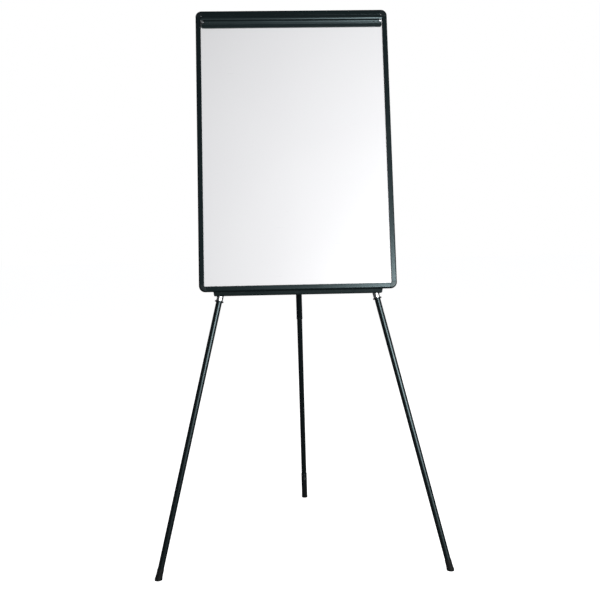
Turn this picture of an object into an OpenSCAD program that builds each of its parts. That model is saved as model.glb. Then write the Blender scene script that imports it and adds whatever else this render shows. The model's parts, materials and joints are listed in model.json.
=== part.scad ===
// Flipchart easel: a framed dry-wipe board with a sprung pad clamp on a folding, telescopic tripod.
// Millimetres, +Z up, +Y away from the reader, origin on the floor under the middle of the easel.

/* [Board] */
// Overall width of the framed board
board_w = 700; // [600:5:760]
// Overall height of the framed board, measured along its face
board_h = 1030; // [1000:5:1060]
// Height of the board's lower front edge above the floor
board_z = 970; // [940:5:1000]
// How far the board leans back from upright, in degrees
board_tilt = 11; // [9:0.5:13]
// Place of the board's lower front edge, front to back
board_y = -273; // [-300:1:-240]
// Width of a frame rail's face
rail_face = 19; // [17:0.5:20]
// Depth of a frame rail, front to back
rail_depth = 15; // [15:0.5:16]
// Radius of the frame's outer corners
corner_r = 22; // [21:0.5:26]
// Straight arm at each end of a corner piece
corner_arm = 3; // [2:0.5:6]
// How far the writing surface sits behind the frame's face
surface_depth = 4; // [3:0.5:5]

/* [Clamp] */
// Length of the clamp's lip
clamp_w = 655; // [640:1:657]
// Length missing from the hinge barrel at each end, where the lug sits
clamp_notch = 10; // [9:0.5:11]
// Radius of the clamp's hinge barrel
barrel_r = 8.5; // [8:0.1:9]
// Wall of the clamp's extruded section
clamp_wall = 2; // [1.6:0.1:2.2]
// Height of the hinge axis above the lip's lower edge
clamp_drop = 20; // [19:0.5:22]
// Distance of the hinge axis below the board's upper edge
clamp_axis_drop = 46.5; // [45:0.5:48]

/* [Legs] */
// Radius of an upper leg tube
upper_r = 12; // [11.9:0.1:12.2]
// Wall of an upper leg tube
upper_wall = 0.9; // [0.8:0.1:1]
// Radius of a lower leg tube
lower_r = 10.6; // [10.4:0.05:10.6]
// Wall of a lower leg tube
lower_wall = 1.2; // [1:0.1:1.5]
// Height of the leg pivots along the board
pivot_h = 900; // [880:5:910]
// Distance of each front leg's pivot from the middle
pivot_x = 64; // [62:1:66]
// Angle of each front leg from the board's middle line, in degrees
leg_splay = 13.1; // [12.8:0.1:13.2]
// Angle of the rear leg from the board's back, in degrees
rear_open = 25.5; // [24:0.5:26]
// How far the rear leg hangs to the reader's right, in degrees
rear_lean = 1.2; // [0:0.1:2]
// How far below the board's lower edge the front collars sit
collar_drop = 30; // [28:1:34]
// Length of the rear leg's upper tube below its pivot
rear_upper = 1055; // [1020:5:1080]

/* [Guide bar] */
// Overall length of the leg guide bar
guide_w = 600; // [596:2:610]
// How far the bar shows below the board's lower edge
guide_drop = 15; // [13:0.5:16]
// Thickness of the bar's front and rear plates
guide_sheet = 1.5; // [1.2:0.1:1.5]

/* [Hidden] */
$fn = 64;

// Which side of the easel a piece is on
left = -1;
right = 1;

// Panel, built up in the frame's groove
skin = 0.5;
groove_w = 8;
panel_back = rail_depth - 2;
panel_edge = rail_face - groove_w;
panel_w = board_w - 2 * panel_edge;
panel_h = board_h - 2 * panel_edge;
panel_corner = corner_r - panel_edge;

// Frame rails and corner pieces
rail_wall = 1.8;
rail_chamber = [panel_edge - 2 * rail_wall, rail_depth - 2 * rail_wall];
rail_edge_r = 6;
rail_seam = 0.1;
corner_len = corner_r + corner_arm;
tongue_play = 0.1;
tongue_len = 31;
corner_screw_r = 1.5;
corner_screw_at = corner_len + 15;

// Clamp section, measured from its hinge axis
clamp_axis_d = surface_depth - barrel_r - 1;
clamp_axis_h = board_h - clamp_axis_drop;
barrel_w = clamp_w - 2 * clamp_notch;
face_lean = 12;
nose_lean = 45;
face_from = barrel_r - 0.3;
knee_drop = 11;
lip_flange = 7;
notch_drop = 8;
lip_corner_r = 5;
grip_gap = 0.2;
clamp_pin_r = 2;
running_gap = 0.05;
clamp_plug_len = 24;
clamp_tab = [2, 9.5];
lug_w = 8;
lug_r = 5.5;
lug_gap = 1;
spring_wire = 0.6;
spring_r = 3.7;
spring_turns = 8;
clamp_screw_x = barrel_w / 2 - 18.5;
clamp_screw_drop = 3.3;
clamp_screw_r = 1.4;
hinge_rail_w = board_w - 2 * rail_face - 4 * rail_seam;
hinge_rail_low = clamp_axis_h + barrel_r + 2;
hinge_rail_r = 21;
hinge_rail_out = 2.2;
hinge_rail_crest = 7.2;

// Leg guide bar behind the lower rail
leg_gap = 0.5;
leg_d = rail_depth + guide_sheet + leg_gap + upper_r;
guide_inner = [rail_depth + guide_sheet, leg_d + upper_r + leg_gap];
guide_top = 16;
bead_r = 2;
strap_bottom = -11;
block_bottom = -12;
block_in = 262;
socket_gap = 0.3;
spacer_half = pivot_x - upper_r - leg_gap;
guide_screw_r = 2;
guide_screw_h = 5;
guide_screw_x = [-guide_w / 2 + 11, -30, 30, guide_w / 2 - 11];
guide_screw_tip = 9;

// Crown: the housing that carries the three leg pivots
crown_sheet = 2;
crown_w = 180;
crown_low = pivot_h - 40;
crown_high = pivot_h + 50;
crown_back = guide_inner[1] + 1;
crown_lip = 14;
crown_screw_r = 2;
crown_screws_at = [for (sx = [left, right], dh = [-32, 42]) [sx * (crown_w / 2 + 7), pivot_h + dh]];
pin_r = 4;
eye_half = 12;
eye_r = 12;

// Rear clevis and its pivot
clevis_base = [48, 2.5, 68];
clevis_back = crown_back + crown_sheet + clevis_base[1];
rear_d = clevis_back + 12.5;
rear_eye_half = 12;
ear_gap = 1;
ear_sheet = 2.5;
heel_front = 8;
heel_gap = 0.15;
heel_up = (rear_d - clevis_back - heel_gap - heel_front * cos(rear_open)) / sin(rear_open);
clevis_rivets_at = [for (sx = [left, right], dh = [-22, 28]) [sx * 19.5, pivot_h + dh]];

// Leg lengths along each leg's own axis, from its pivot to the floor
front_upper = (pivot_h + collar_drop) / cos(leg_splay);
front_len = (board_z + pivot_h * cos(board_tilt) - leg_d * sin(board_tilt))
    / (cos(leg_splay) * cos(board_tilt));
rear_len = (board_z + pivot_h * cos(board_tilt) - rear_d * sin(board_tilt))
    / (cos(rear_lean) * cos(rear_open) * cos(board_tilt) + sin(rear_open) * sin(board_tilt));
tube_start = 22;
stem_len = 30;
bush_len = 30;
flange_r = 15.5;
flange_t = 4.5;
lower_start_gap = 70;
guide_plug_len = 30;
guide_plug_stem = 25;
knob_up = 8;
knob_screw_r = 2.5;
knob_boss_r = 4.5;
knob_boss_y = upper_r + 4;
knob_r = 8;
knob_len = 12;
knob_flutes = 10;

// Feet
foot_len = 38;
foot_end_gap = 8;
foot_past_floor = 6;
sleeve_r = 12;
sleeve_len = 111;
tip_len = 9;

// ---- Places ----

// The board's own space: X across it, Y into it from the frame's face, Z up along it
module on_board() {
    translate([0, board_y, board_z]) rotate([-board_tilt, 0, 0]) children();
}

// A front leg's own space: Z up along the leg, zero at its pivot
module on_front_leg(side) {
    on_board() translate([side * pivot_x, leg_d, pivot_h]) rotate([0, -side * leg_splay, 0]) children();
}

// The rear pivot's place on the crown, turned with the leg's lean; heights stay the board's own
module on_rear_pivot() {
    translate([0, 0, pivot_h]) rotate([0, -rear_lean, 0]) translate([0, 0, -pivot_h]) children();
}

// The rear leg's own space, laid out in the same way
module on_rear_leg() {
    on_board() translate([0, rear_d, pivot_h]) rotate([rear_open, -rear_lean, 0]) children();
}

// Repeats a left-hand piece on the chosen side
module on_side(side) {
    mirror([side == right ? 1 : 0, 0, 0]) children();
}

// Runs a section drawn as [depth, height] along X, centred
module along_x(length) {
    translate([-length / 2, 0, 0]) rotate([90, 0, 90]) linear_extrude(length) children();
}

// A round bar along Y from y0 to y1
module y_rod(r, y0, y1) {
    translate([0, y1, 0]) rotate([90, 0, 0]) cylinder(r = r, h = y1 - y0);
}

// A round bar along X from x0 to x1
module x_rod(r, x0, x1) {
    translate([x0, 0, 0]) rotate([0, 90, 0]) cylinder(r = r, h = x1 - x0);
}

// A dome-headed screw along Y: its head behind y_seat, its tip in front
module y_screw(r, y_tip, y_seat, head_r, head_t) {
    y_rod(r, y_tip, y_seat + head_t / 2);
    y_rod(head_r, y_seat, y_seat + head_t * 0.6);
    y_rod(head_r * 0.72, y_seat, y_seat + head_t);
}

// Everything above the floor
module above_floor() {
    span = 3000;
    intersection() {
        children();
        translate([-span / 2, -span / 2, 0]) cube(span);
    }
}

// ---- Frame and panel ----

module rounded_rect(w, h, r) {
    translate([-w / 2 + r, -h / 2]) square([w - 2 * r, h]);
    translate([-w / 2, -h / 2 + r]) square([w, h - 2 * r]);
    for (sx = [-1, 1], sy = [-1, 1]) translate([sx * (w / 2 - r), sy * (h / 2 - r)]) circle(r);
}

module panel_layer(d0, d1) {
    translate([0, d1, board_h / 2]) rotate([90, 0, 0])
        linear_extrude(d1 - d0) rounded_rect(panel_w, panel_h, panel_corner);
}

// Outline of a frame rail: X in from the outer edge, Y back from the face
module rail_outline() {
    inner_r = 1;
    difference() {
        union() {
            translate([rail_edge_r, 0]) square([rail_face - rail_edge_r - inner_r, rail_edge_r]);
            translate([0, rail_edge_r]) square([rail_face, rail_depth - rail_edge_r]);
            translate([rail_edge_r, rail_edge_r]) circle(rail_edge_r);
            translate([rail_face - inner_r, inner_r]) circle(inner_r);
            translate([rail_face - 2 * inner_r, inner_r]) square([2 * inner_r, rail_edge_r]);
        }
        translate([panel_edge, surface_depth]) square([groove_w + 1, panel_back - surface_depth]);
    }
}

module rail_section() {
    difference() {
        rail_outline();
        translate([rail_wall, rail_wall]) square(rail_chamber);
    }
}

module corner_screw_set() {
    side_x = board_w / 2 - panel_edge / 2;
    side_h = board_h / 2 - panel_edge / 2;
    head_r = 3;
    head_t = 1.2;
    for (sx = [-1, 1], sh = [-1, 1]) translate([0, 0, board_h / 2]) {
        translate([sx * side_x, 0, sh * (board_h / 2 - corner_screw_at)])
            y_screw(corner_screw_r, panel_back - 6, rail_depth, head_r, head_t);
        translate([sx * (board_w / 2 - corner_screw_at), 0, sh * side_h])
            y_screw(corner_screw_r, panel_back - 6, rail_depth, head_r, head_t);
    }
}

module upright_rail() {
    difference() {
        translate([-board_w / 2, 0, corner_len]) linear_extrude(board_h - 2 * corner_len) rail_section();
        corner_screw_set();
    }
}

module level_rail() {
    length = board_w - 2 * corner_len;
    difference() {
        translate([length / 2, 0, 0]) rotate([0, -90, 0]) linear_extrude(length) rail_section();
        corner_screw_set();
        guide_screw_set();
    }
}

module upside_down() {
    translate([0, 0, board_h]) mirror([0, 0, 1]) children();
}

// The lower left corner piece, with a tongue into each rail
module corner_piece() {
    tongue = [rail_chamber[0] - 2 * tongue_play, rail_chamber[1] - 2 * tongue_play];
    inset = rail_wall + tongue_play;
    difference() {
        translate([-board_w / 2, 0, 0]) {
            translate([corner_r, 0, corner_r]) mirror([0, 1, 0]) rotate([90, 0, 0]) rotate([0, 0, 180])
                rotate_extrude(angle = 90) translate([corner_r, 0]) mirror([1, 0]) rail_outline();
            translate([0, 0, corner_r]) linear_extrude(corner_arm) rail_outline();
            translate([corner_len, 0, 0]) rotate([0, -90, 0]) linear_extrude(corner_arm) rail_outline();
            translate([inset, inset, corner_len - 1]) cube([tongue[0], tongue[1], tongue_len]);
            translate([corner_len - 1, inset, inset]) cube([tongue_len, tongue[1], tongue[0]]);
        }
        corner_screw_set();
    }
}

module writing_surface() {
    color([0.96, 0.96, 0.97]) on_board() panel_layer(surface_depth, surface_depth + skin);
}

module panel_core() {
    color([0.62, 0.5, 0.36]) on_board() difference() {
        panel_layer(surface_depth + skin, panel_back - skin);
        crown_screw_set();
    }
}

module backing_sheet() {
    color([0.72, 0.73, 0.74]) on_board() difference() {
        panel_layer(panel_back - skin, panel_back);
        crown_screw_set();
    }
}

module rail_left() {
    color([0.15, 0.16, 0.17]) on_board() upright_rail();
}

module rail_right() {
    color([0.15, 0.16, 0.17]) on_board() mirror([1, 0, 0]) upright_rail();
}

module rail_bottom() {
    color([0.15, 0.16, 0.17]) on_board() level_rail();
}

module rail_top() {
    color([0.15, 0.16, 0.17]) on_board() upside_down() difference() {
        translate([(board_w - 2 * corner_len) / 2, 0, 0]) rotate([0, -90, 0])
            linear_extrude(board_w - 2 * corner_len) rail_section();
        corner_screw_set();
    }
}

module corner_bottom(side) {
    color([0.18, 0.18, 0.19]) on_board() on_side(side) corner_piece();
}

module corner_top(side) {
    color([0.18, 0.18, 0.19]) on_board() upside_down() on_side(side) corner_piece();
}

module corner_screws() {
    color([0.7, 0.71, 0.72]) on_board() corner_screw_set();
}

// ---- Pad clamp ----

module on_clamp() {
    on_board() translate([0, clamp_axis_d, clamp_axis_h]) children();
}

// Where two of the section's walls meet: each faces out at an angle below level, at a distance from the axis
function meet(lean_a, from_a, lean_b, from_b) = [
    (from_b * sin(lean_a) - from_a * sin(lean_b)) / sin(lean_b - lean_a),
    (from_a * cos(lean_b) - from_b * cos(lean_a)) / sin(lean_b - lean_a)];

// The section inside an inset: barrel, a face set a little behind it, and a nose that runs back to the board
module clamp_shape(inset, back, back_top) {
    face = face_from - inset;
    knee = meet(face_lean, face_from, 90, knee_drop);
    nose = -knee[0] * cos(nose_lean) - knee[1] * sin(nose_lean) - inset;
    low = clamp_drop - inset;
    circle(barrel_r - inset);
    polygon([[0, 0], [-face * cos(face_lean), -face * sin(face_lean)], meet(face_lean, face, nose_lean, nose),
        meet(nose_lean, nose, 90, low), [back, -low], [back, back_top]]);
}

// Bent shell, open at the back between the barrel and the flange that presses on the pad
module clamp_section() {
    difference() {
        clamp_shape(0, barrel_r, lip_flange - clamp_drop);
        clamp_shape(clamp_wall, barrel_r + 1, 0);
    }
    translate([barrel_r - clamp_wall, -clamp_drop]) square([clamp_wall, lip_flange]);
}

// The screws that hold the end plugs, square to the clamp's face
module clamp_screw_set() {
    for (side = [left, right]) translate([side * clamp_screw_x, 0, 0]) rotate([face_lean, 0, 0])
        translate([0, 0, -clamp_screw_drop]) {
            y_rod(clamp_screw_r, -barrel_r - 0.4, -3);
            y_rod(clamp_screw_r * 1.7, -barrel_r - 0.4, -barrel_r + 0.6);
        }
}

// The clamp seen face on: rounded lower corners, and a barrel that stops short of the lip's ends
module clamp_face() {
    half = clamp_w / 2 - lip_corner_r;
    translate([-half, -clamp_drop]) square([2 * half, clamp_drop - notch_drop]);
    translate([-clamp_w / 2, -clamp_drop + lip_corner_r])
        square([clamp_w, clamp_drop - lip_corner_r - notch_drop]);
    for (sx = [-1, 1]) translate([sx * half, -clamp_drop + lip_corner_r]) circle(lip_corner_r);
    translate([-barrel_w / 2, -notch_drop - 1]) square([barrel_w, notch_drop + barrel_r + 2]);
}

module clamp_bar() {
    deep = 3 * barrel_r;
    color([0.13, 0.15, 0.15]) on_clamp() difference() {
        intersection() {
            along_x(clamp_w) clamp_section();
            translate([0, deep / 2, 0]) rotate([90, 0, 0]) linear_extrude(deep) clamp_face();
        }
        clamp_screw_set();
    }
}

// Plug in each end of the barrel, bored for the hinge pin, with a tab for the screw
module clamp_end(side) {
    inner = barrel_r - clamp_wall;
    face = face_from - clamp_wall;
    color([0.1, 0.1, 0.11]) on_clamp() on_side(side) difference() {
        union() {
            x_rod(inner, -barrel_w / 2, -barrel_w / 2 + clamp_plug_len);
            translate([-barrel_w / 2, 0, 0]) rotate([90, 0, 90]) linear_extrude(clamp_plug_len)
                polygon([meet(face_lean, face, 90, clamp_tab[0]), meet(face_lean, face, 90, clamp_tab[1]),
                    [0, -clamp_tab[1]], [0, -clamp_tab[0]]]);
        }
        x_rod(clamp_pin_r + running_gap, -barrel_w / 2 - 1, -barrel_w / 2 + clamp_plug_len + 1);
        clamp_screw_set();
    }
}

module clamp_screws() {
    color([0.25, 0.25, 0.26]) on_clamp() clamp_screw_set();
}

module grip_strip() {
    board_gap = surface_depth - clamp_axis_d - barrel_r;
    color([0.07, 0.07, 0.07]) on_clamp() along_x(clamp_w - 6)
        translate([barrel_r, -clamp_drop]) square([board_gap - grip_gap, lip_flange]);
}

// The hinge rail's section from the board's face: a bulge that swells towards the clamp
module hinge_rail_section() {
    front = -hinge_rail_out - 1;
    intersection() {
        translate([front, hinge_rail_low])
            square([surface_depth - front, board_h - rail_face - rail_seam - hinge_rail_low]);
        translate([hinge_rail_r - hinge_rail_out, hinge_rail_low + hinge_rail_crest])
            circle(hinge_rail_r, $fn = 180);
    }
}

// Fixed rail that fills the space between the frame's top rail and the clamp's barrel
module hinge_rail() {
    shoulder = board_h - corner_r - 2 * rail_seam - hinge_rail_low;
    color([0.13, 0.14, 0.15]) on_board() {
        along_x(board_w - 2 * corner_len) hinge_rail_section();
        along_x(hinge_rail_w) intersection() {
            hinge_rail_section();
            translate([-corner_r, hinge_rail_low]) square([2 * corner_r, shoulder]);
        }
    }
}

module clamp_lug(side) {
    base_h = 7;
    near = barrel_w / 2 + lug_gap;
    face = surface_depth - clamp_axis_d;
    color([0.8, 0.81, 0.82]) on_clamp() on_side(side) difference() {
        union() {
            x_rod(lug_r, -near - lug_w, -near);
            translate([-near - lug_w, 0, -lug_r]) cube([lug_w, face, 2 * lug_r]);
            translate([-near - lug_w, face - 1.5, -base_h]) cube([lug_w, 1.5, 2 * base_h]);
        }
        x_rod(clamp_pin_r, -near - lug_w - 1, -near + 1);
    }
}

module clamp_pin(side) {
    near = barrel_w / 2 + lug_gap;
    reach = clamp_plug_len + 14;
    color([0.85, 0.86, 0.87]) on_clamp() on_side(side) {
        x_rod(clamp_pin_r, -near - lug_w - 0.5, -barrel_w / 2 + reach);
    }
}

// Torsion spring round the pin: close coils, one arm towards the board and one into the lip
module clamp_spring(side) {
    first = -barrel_w / 2 + clamp_plug_len + 1;
    pitch = 2 * spring_wire + 0.05;
    last = first + (spring_turns - 1) * pitch;
    arm_r = spring_wire * 0.8;
    arm = 9;
    color([0.6, 0.61, 0.62]) on_clamp() on_side(side) {
        for (i = [0:spring_turns - 1]) translate([first + i * pitch, 0, 0]) rotate([0, 90, 0])
            rotate_extrude() translate([spring_r, 0]) circle(spring_wire);
        translate([first, spring_r, -arm]) cylinder(r = arm_r, h = arm);
        translate([last, -spring_r, -arm]) cylinder(r = arm_r, h = arm);
    }
}

// ---- Crown and rear clevis ----

module crown_screw_set() {
    for (at = crown_screws_at) translate([at[0], 0, at[1]])
        y_screw(crown_screw_r, surface_depth + skin + 1, panel_back + crown_sheet, 4, 2.2);
}

module clevis_rivet_set() {
    on_rear_pivot() for (at = clevis_rivets_at) translate([at[0], 0, at[1]])
        y_screw(2, crown_back, clevis_back, 3.5, 1.6);
}

module pivot_pin(side) {
    color([0.75, 0.76, 0.77]) on_board() translate([side * pivot_x, 0, pivot_h]) {
        y_rod(pin_r, panel_back, crown_back + crown_sheet);
        y_rod(7, crown_back + crown_sheet, crown_back + crown_sheet + 2.5);
        y_rod(5, crown_back + crown_sheet, crown_back + crown_sheet + 3.5);
    }
}

module pivot_bores() {
    for (side = [left, right]) translate([side * pivot_x, 0, pivot_h]) y_rod(pin_r, 0, crown_back + 10);
}

module crown_plate() {
    plate_w = crown_w - 2 * crown_sheet - 2;
    color([0.2, 0.21, 0.22]) on_board() difference() {
        translate([-plate_w / 2, panel_back, crown_low + 6])
            cube([plate_w, crown_sheet, crown_high - crown_low - 12]);
        pivot_bores();
    }
}

// Pressed housing, open below: rear wall, two sides, a top, and a lip each side with two screws
module crown_housing() {
    tall = crown_high - crown_low;
    deep = crown_back + crown_sheet - panel_back;
    color([0.12, 0.13, 0.13]) on_board() difference() {
        union() {
            translate([-crown_w / 2, crown_back, crown_low]) cube([crown_w, crown_sheet, tall]);
            translate([-crown_w / 2, panel_back, crown_high - crown_sheet])
                cube([crown_w, deep, crown_sheet]);
            for (side = [left, right]) on_side(side) {
                translate([-crown_w / 2, panel_back, crown_low]) cube([crown_sheet, deep, tall]);
                translate([-crown_w / 2 - crown_lip, panel_back, crown_low])
                    cube([crown_lip + 1, crown_sheet, tall]);
            }
        }
        pivot_bores();
        crown_screw_set();
        clevis_rivet_set();
    }
}

module crown_screws() {
    color([0.7, 0.71, 0.72]) on_board() crown_screw_set();
}

module rear_clevis() {
    ear_out = rear_eye_half + ear_gap + ear_sheet;
    color([0.12, 0.13, 0.13]) on_board() difference() {
        on_rear_pivot() union() {
            translate([-clevis_base[0] / 2, clevis_back - clevis_base[1], pivot_h - 30])
                cube(clevis_base);
            for (side = [left, right]) on_side(side) translate([-ear_out, 0, pivot_h]) {
                translate([0, clevis_back - 1, -eye_r])
                    cube([ear_sheet, rear_d - clevis_back + 1, 2 * eye_r]);
                translate([0, rear_d, 0]) x_rod(eye_r, 0, ear_sheet);
            }
        }
        on_rear_pivot() translate([0, rear_d, pivot_h]) x_rod(pin_r, -ear_out - 1, ear_out + 1);
        clevis_rivet_set();
    }
}

module clevis_rivets() {
    color([0.7, 0.71, 0.72]) on_board() clevis_rivet_set();
}

module rear_pivot_pin() {
    ear_out = rear_eye_half + ear_gap + ear_sheet;
    color([0.75, 0.76, 0.77]) on_board() on_rear_pivot() translate([0, rear_d, pivot_h]) {
        x_rod(pin_r, -ear_out - 3, ear_out);
        x_rod(6.5, ear_out, ear_out + 3);
        x_rod(6, -ear_out - 1.5, -ear_out);
    }
}

// ---- Leg guide bar ----

module guide_screw_set() {
    for (x = guide_screw_x) translate([x, 0, guide_screw_h])
        y_screw(guide_screw_r, guide_screw_tip, guide_inner[1] + guide_sheet, 4, 2.2);
}

// Front and rear plates: long strips whose lower corners are cut away
module guide_plate(d0, low, cut) {
    half = guide_w / 2;
    translate([0, d0 + guide_sheet, 0]) rotate([90, 0, 0]) linear_extrude(guide_sheet)
        polygon([[-half, guide_top], [-half, low + 2.2 * cut], [-half + cut * 0.4, low + cut],
            [-half + cut * 1.3, low], [half - cut * 1.3, low], [half - cut * 0.4, low + cut],
            [half, low + 2.2 * cut], [half, guide_top]]);
}

module guide_front() {
    cut = 6;
    color([0.1, 0.12, 0.12]) on_board() difference() {
        union() {
            guide_plate(rail_depth, -guide_drop, cut);
            translate([0, rail_depth + guide_sheet - bead_r, -guide_drop + bead_r])
                x_rod(bead_r, -guide_w / 2 + 1.4 * cut, guide_w / 2 - 1.4 * cut);
        }
        guide_screw_set();
    }
}

module guide_strap() {
    color([0.1, 0.12, 0.12]) on_board() difference() {
        guide_plate(guide_inner[1], strap_bottom, 5);
        guide_screw_set();
    }
}

// End block with a half-round seat that the open leg swings out against
module guide_end(side) {
    reach = guide_w / 2 - block_in;
    deep = guide_inner[1] - guide_inner[0];
    color([0.09, 0.09, 0.1]) difference() {
        on_board() on_side(side) difference() {
            translate([-guide_w / 2 + 1, guide_inner[0], block_bottom])
                cube([reach - 1, deep, guide_top - block_bottom]);
            translate([-guide_w / 2 - 2, guide_inner[0] - 1, block_bottom - 6]) rotate([0, -20, 0])
                cube([6, deep + 2, 14]);
        }
        on_front_leg(side) {
            translate([0, 0, -front_upper]) cylinder(r = upper_r + socket_gap, h = 120);
            translate([side == right ? -80 : 0, -40, -front_upper]) cube([80, 80, 120]);
        }
        on_board() guide_screw_set();
    }
}

module guide_spacer() {
    color([0.09, 0.09, 0.1]) on_board() difference() {
        translate([-spacer_half, guide_inner[0], -8])
            cube([2 * spacer_half, guide_inner[1] - guide_inner[0], guide_top - 4]);
        guide_screw_set();
    }
}

module guide_screws() {
    color([0.7, 0.71, 0.72]) on_board() guide_screw_set();
}

// ---- Leg pieces, each drawn in its leg's own space ----

module tube(r, wall, z0, z1) {
    translate([0, 0, z0]) difference() {
        cylinder(r = r, h = z1 - z0);
        translate([0, 0, -1]) cylinder(r = r - wall, h = z1 - z0 + 2);
    }
}

// Upper tube with the threaded boss for its lock screw
module upper_tube(length) {
    bore = upper_r - upper_wall;
    difference() {
        union() {
            tube(upper_r, upper_wall, -length, -tube_start);
            translate([0, 0, -length + knob_up]) y_rod(knob_boss_r, bore + 0.5, knob_boss_y);
        }
        translate([0, 0, -length]) cylinder(r = bore, h = 2 * knob_up);
        translate([0, 0, -length + knob_up]) y_rod(knob_screw_r + running_gap, 0, knob_boss_y + 1);
    }
}

// Eye plug in the top of a leg: a block around the pivot, a shoulder and a stem in the tube
module top_plug_stem() {
    translate([0, 0, -tube_start]) cylinder(r = upper_r, h = 4);
    translate([0, 0, -tube_start - stem_len]) cylinder(r = upper_r - upper_wall, h = stem_len + 1);
}

module front_top_plug() {
    difference() {
        union() {
            y_rod(eye_r, -eye_half, eye_half);
            translate([-9, -9, -tube_start + 2]) cube([18, 18, tube_start]);
            top_plug_stem();
        }
        y_rod(pin_r + running_gap, -eye_half - 1, eye_half + 1);
    }
}

// The rear plug's heel meets the clevis when the leg is fully open
module rear_top_plug_shape() {
    body_r = 10;
    difference() {
        union() {
            x_rod(body_r, -rear_eye_half, rear_eye_half);
            translate([-rear_eye_half + 2, -body_r + 1, -tube_start + 2])
                cube([2 * rear_eye_half - 4, 2 * body_r - 2, tube_start]);
            translate([-rear_eye_half, -heel_front, 0]) cube([2 * rear_eye_half, heel_front + 6, heel_up]);
            top_plug_stem();
        }
        x_rod(pin_r + running_gap, -rear_eye_half - 1, rear_eye_half + 1);
    }
}

// Collar bush pressed into the tube's end, with a flange under it
module collar(length, rim_r) {
    bore = lower_r + running_gap;
    sleeve = upper_r - upper_wall;
    edge = 0.8;
    difference() {
        translate([0, 0, -length]) rotate_extrude()
            polygon([[bore, -flange_t], [rim_r - edge, -flange_t], [rim_r, -flange_t + edge],
                [rim_r, -edge], [rim_r - edge, 0], [sleeve, 0], [sleeve, bush_len], [bore, bush_len]]);
        translate([0, 0, -length + knob_up]) y_rod(knob_screw_r + running_gap, 0, upper_r + 1);
    }
}

module lock_knob(length) {
    tip = lower_r + running_gap;
    seat = knob_boss_y + 0.5;
    translate([0, 0, -length + knob_up]) {
        y_rod(knob_screw_r, tip, seat + 1);
        difference() {
            union() {
                y_rod(knob_r * 0.7, seat, seat + 3);
                y_rod(knob_r, seat + 3, seat + knob_len);
                y_rod(knob_r * 0.6, seat + knob_len, seat + knob_len + 0.8);
            }
            for (i = [0:knob_flutes - 1]) rotate([0, i * 360 / knob_flutes, 0])
                translate([knob_r + 0.7, 0, 0]) y_rod(1.6, seat - 1, seat + knob_len + 2);
        }
    }
}

module guide_plug(length) {
    base = -length + lower_start_gap;
    translate([0, 0, base]) cylinder(r = upper_r - upper_wall - running_gap, h = guide_plug_len);
    translate([0, 0, base - guide_plug_stem]) cylinder(r = lower_r - lower_wall, h = guide_plug_stem + 1);
}

module front_foot() {
    tube_end = front_len - foot_end_gap;
    rim_r = 13;
    neck_r = lower_r + 1;
    rotate_extrude() polygon([[0, -front_len - foot_past_floor], [rim_r - 1, -front_len - foot_past_floor],
        [rim_r, -front_len + 3], [rim_r - 0.2, -front_len + 7], [neck_r + 0.3, -front_len + 13],
        [neck_r, -front_len + foot_len - 1], [neck_r - 0.8, -front_len + foot_len],
        [lower_r, -front_len + foot_len], [lower_r, -tube_end], [0, -tube_end]]);
}

module rear_sleeve() {
    top = -rear_len + tip_len + sleeve_len;
    rotate_extrude() polygon([[lower_r, -rear_len + tip_len], [sleeve_r - 0.4, -rear_len + tip_len],
        [sleeve_r, -rear_len + tip_len + 0.5], [sleeve_r, top - 2], [sleeve_r - 1.2, top], [lower_r, top]]);
}

module rear_tip() {
    rotate_extrude() polygon([[0, -rear_len - foot_past_floor], [sleeve_r - 0.6, -rear_len - foot_past_floor],
        [sleeve_r + 0.4, -rear_len + 1], [sleeve_r + 0.4, -rear_len + tip_len - 0.6],
        [sleeve_r - 0.2, -rear_len + tip_len], [lower_r - lower_wall, -rear_len + tip_len],
        [lower_r - lower_wall, -rear_len + tip_len + 20], [0, -rear_len + tip_len + 20]]);
}

module front_upper_tube(side) {
    color([0.85, 0.86, 0.88]) on_front_leg(side) upper_tube(front_upper);
}

module front_plug(side) {
    color([0.1, 0.1, 0.1]) on_front_leg(side) front_top_plug();
}

module front_collar(side) {
    color([0.07, 0.07, 0.07]) on_front_leg(side) collar(front_upper, flange_r);
}

module front_knob(side) {
    color([0.07, 0.07, 0.07]) on_front_leg(side) lock_knob(front_upper);
}

module front_lower_tube(side) {
    color([0.06, 0.06, 0.07]) on_front_leg(side)
        tube(lower_r, lower_wall, -front_len + foot_end_gap, -front_upper + lower_start_gap);
}

module front_guide_plug(side) {
    color([0.5, 0.5, 0.5]) on_front_leg(side) guide_plug(front_upper);
}

module foot(side) {
    color([0.05, 0.05, 0.05]) above_floor() on_front_leg(side) front_foot();
}

module rear_upper_tube() {
    color([0.06, 0.06, 0.07]) on_rear_leg() upper_tube(rear_upper);
}

module rear_top_plug() {
    color([0.1, 0.1, 0.1]) on_rear_leg() rear_top_plug_shape();
}

module rear_collar() {
    color([0.07, 0.07, 0.07]) on_rear_leg() collar(rear_upper, upper_r + 0.6);
}

module rear_lock_knob() {
    color([0.07, 0.07, 0.07]) on_rear_leg() lock_knob(rear_upper);
}

module rear_lower_tube() {
    color([0.06, 0.06, 0.07]) on_rear_leg()
        tube(lower_r, lower_wall, -rear_len + tip_len, -rear_upper + lower_start_gap);
}

module rear_guide_plug() {
    color([0.5, 0.5, 0.5]) on_rear_leg() guide_plug(rear_upper);
}

module rear_foot_sleeve() {
    color([0.05, 0.05, 0.05]) on_rear_leg() rear_sleeve();
}

module rear_foot() {
    color([0.05, 0.05, 0.05]) above_floor() on_rear_leg() rear_tip();
}

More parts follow.
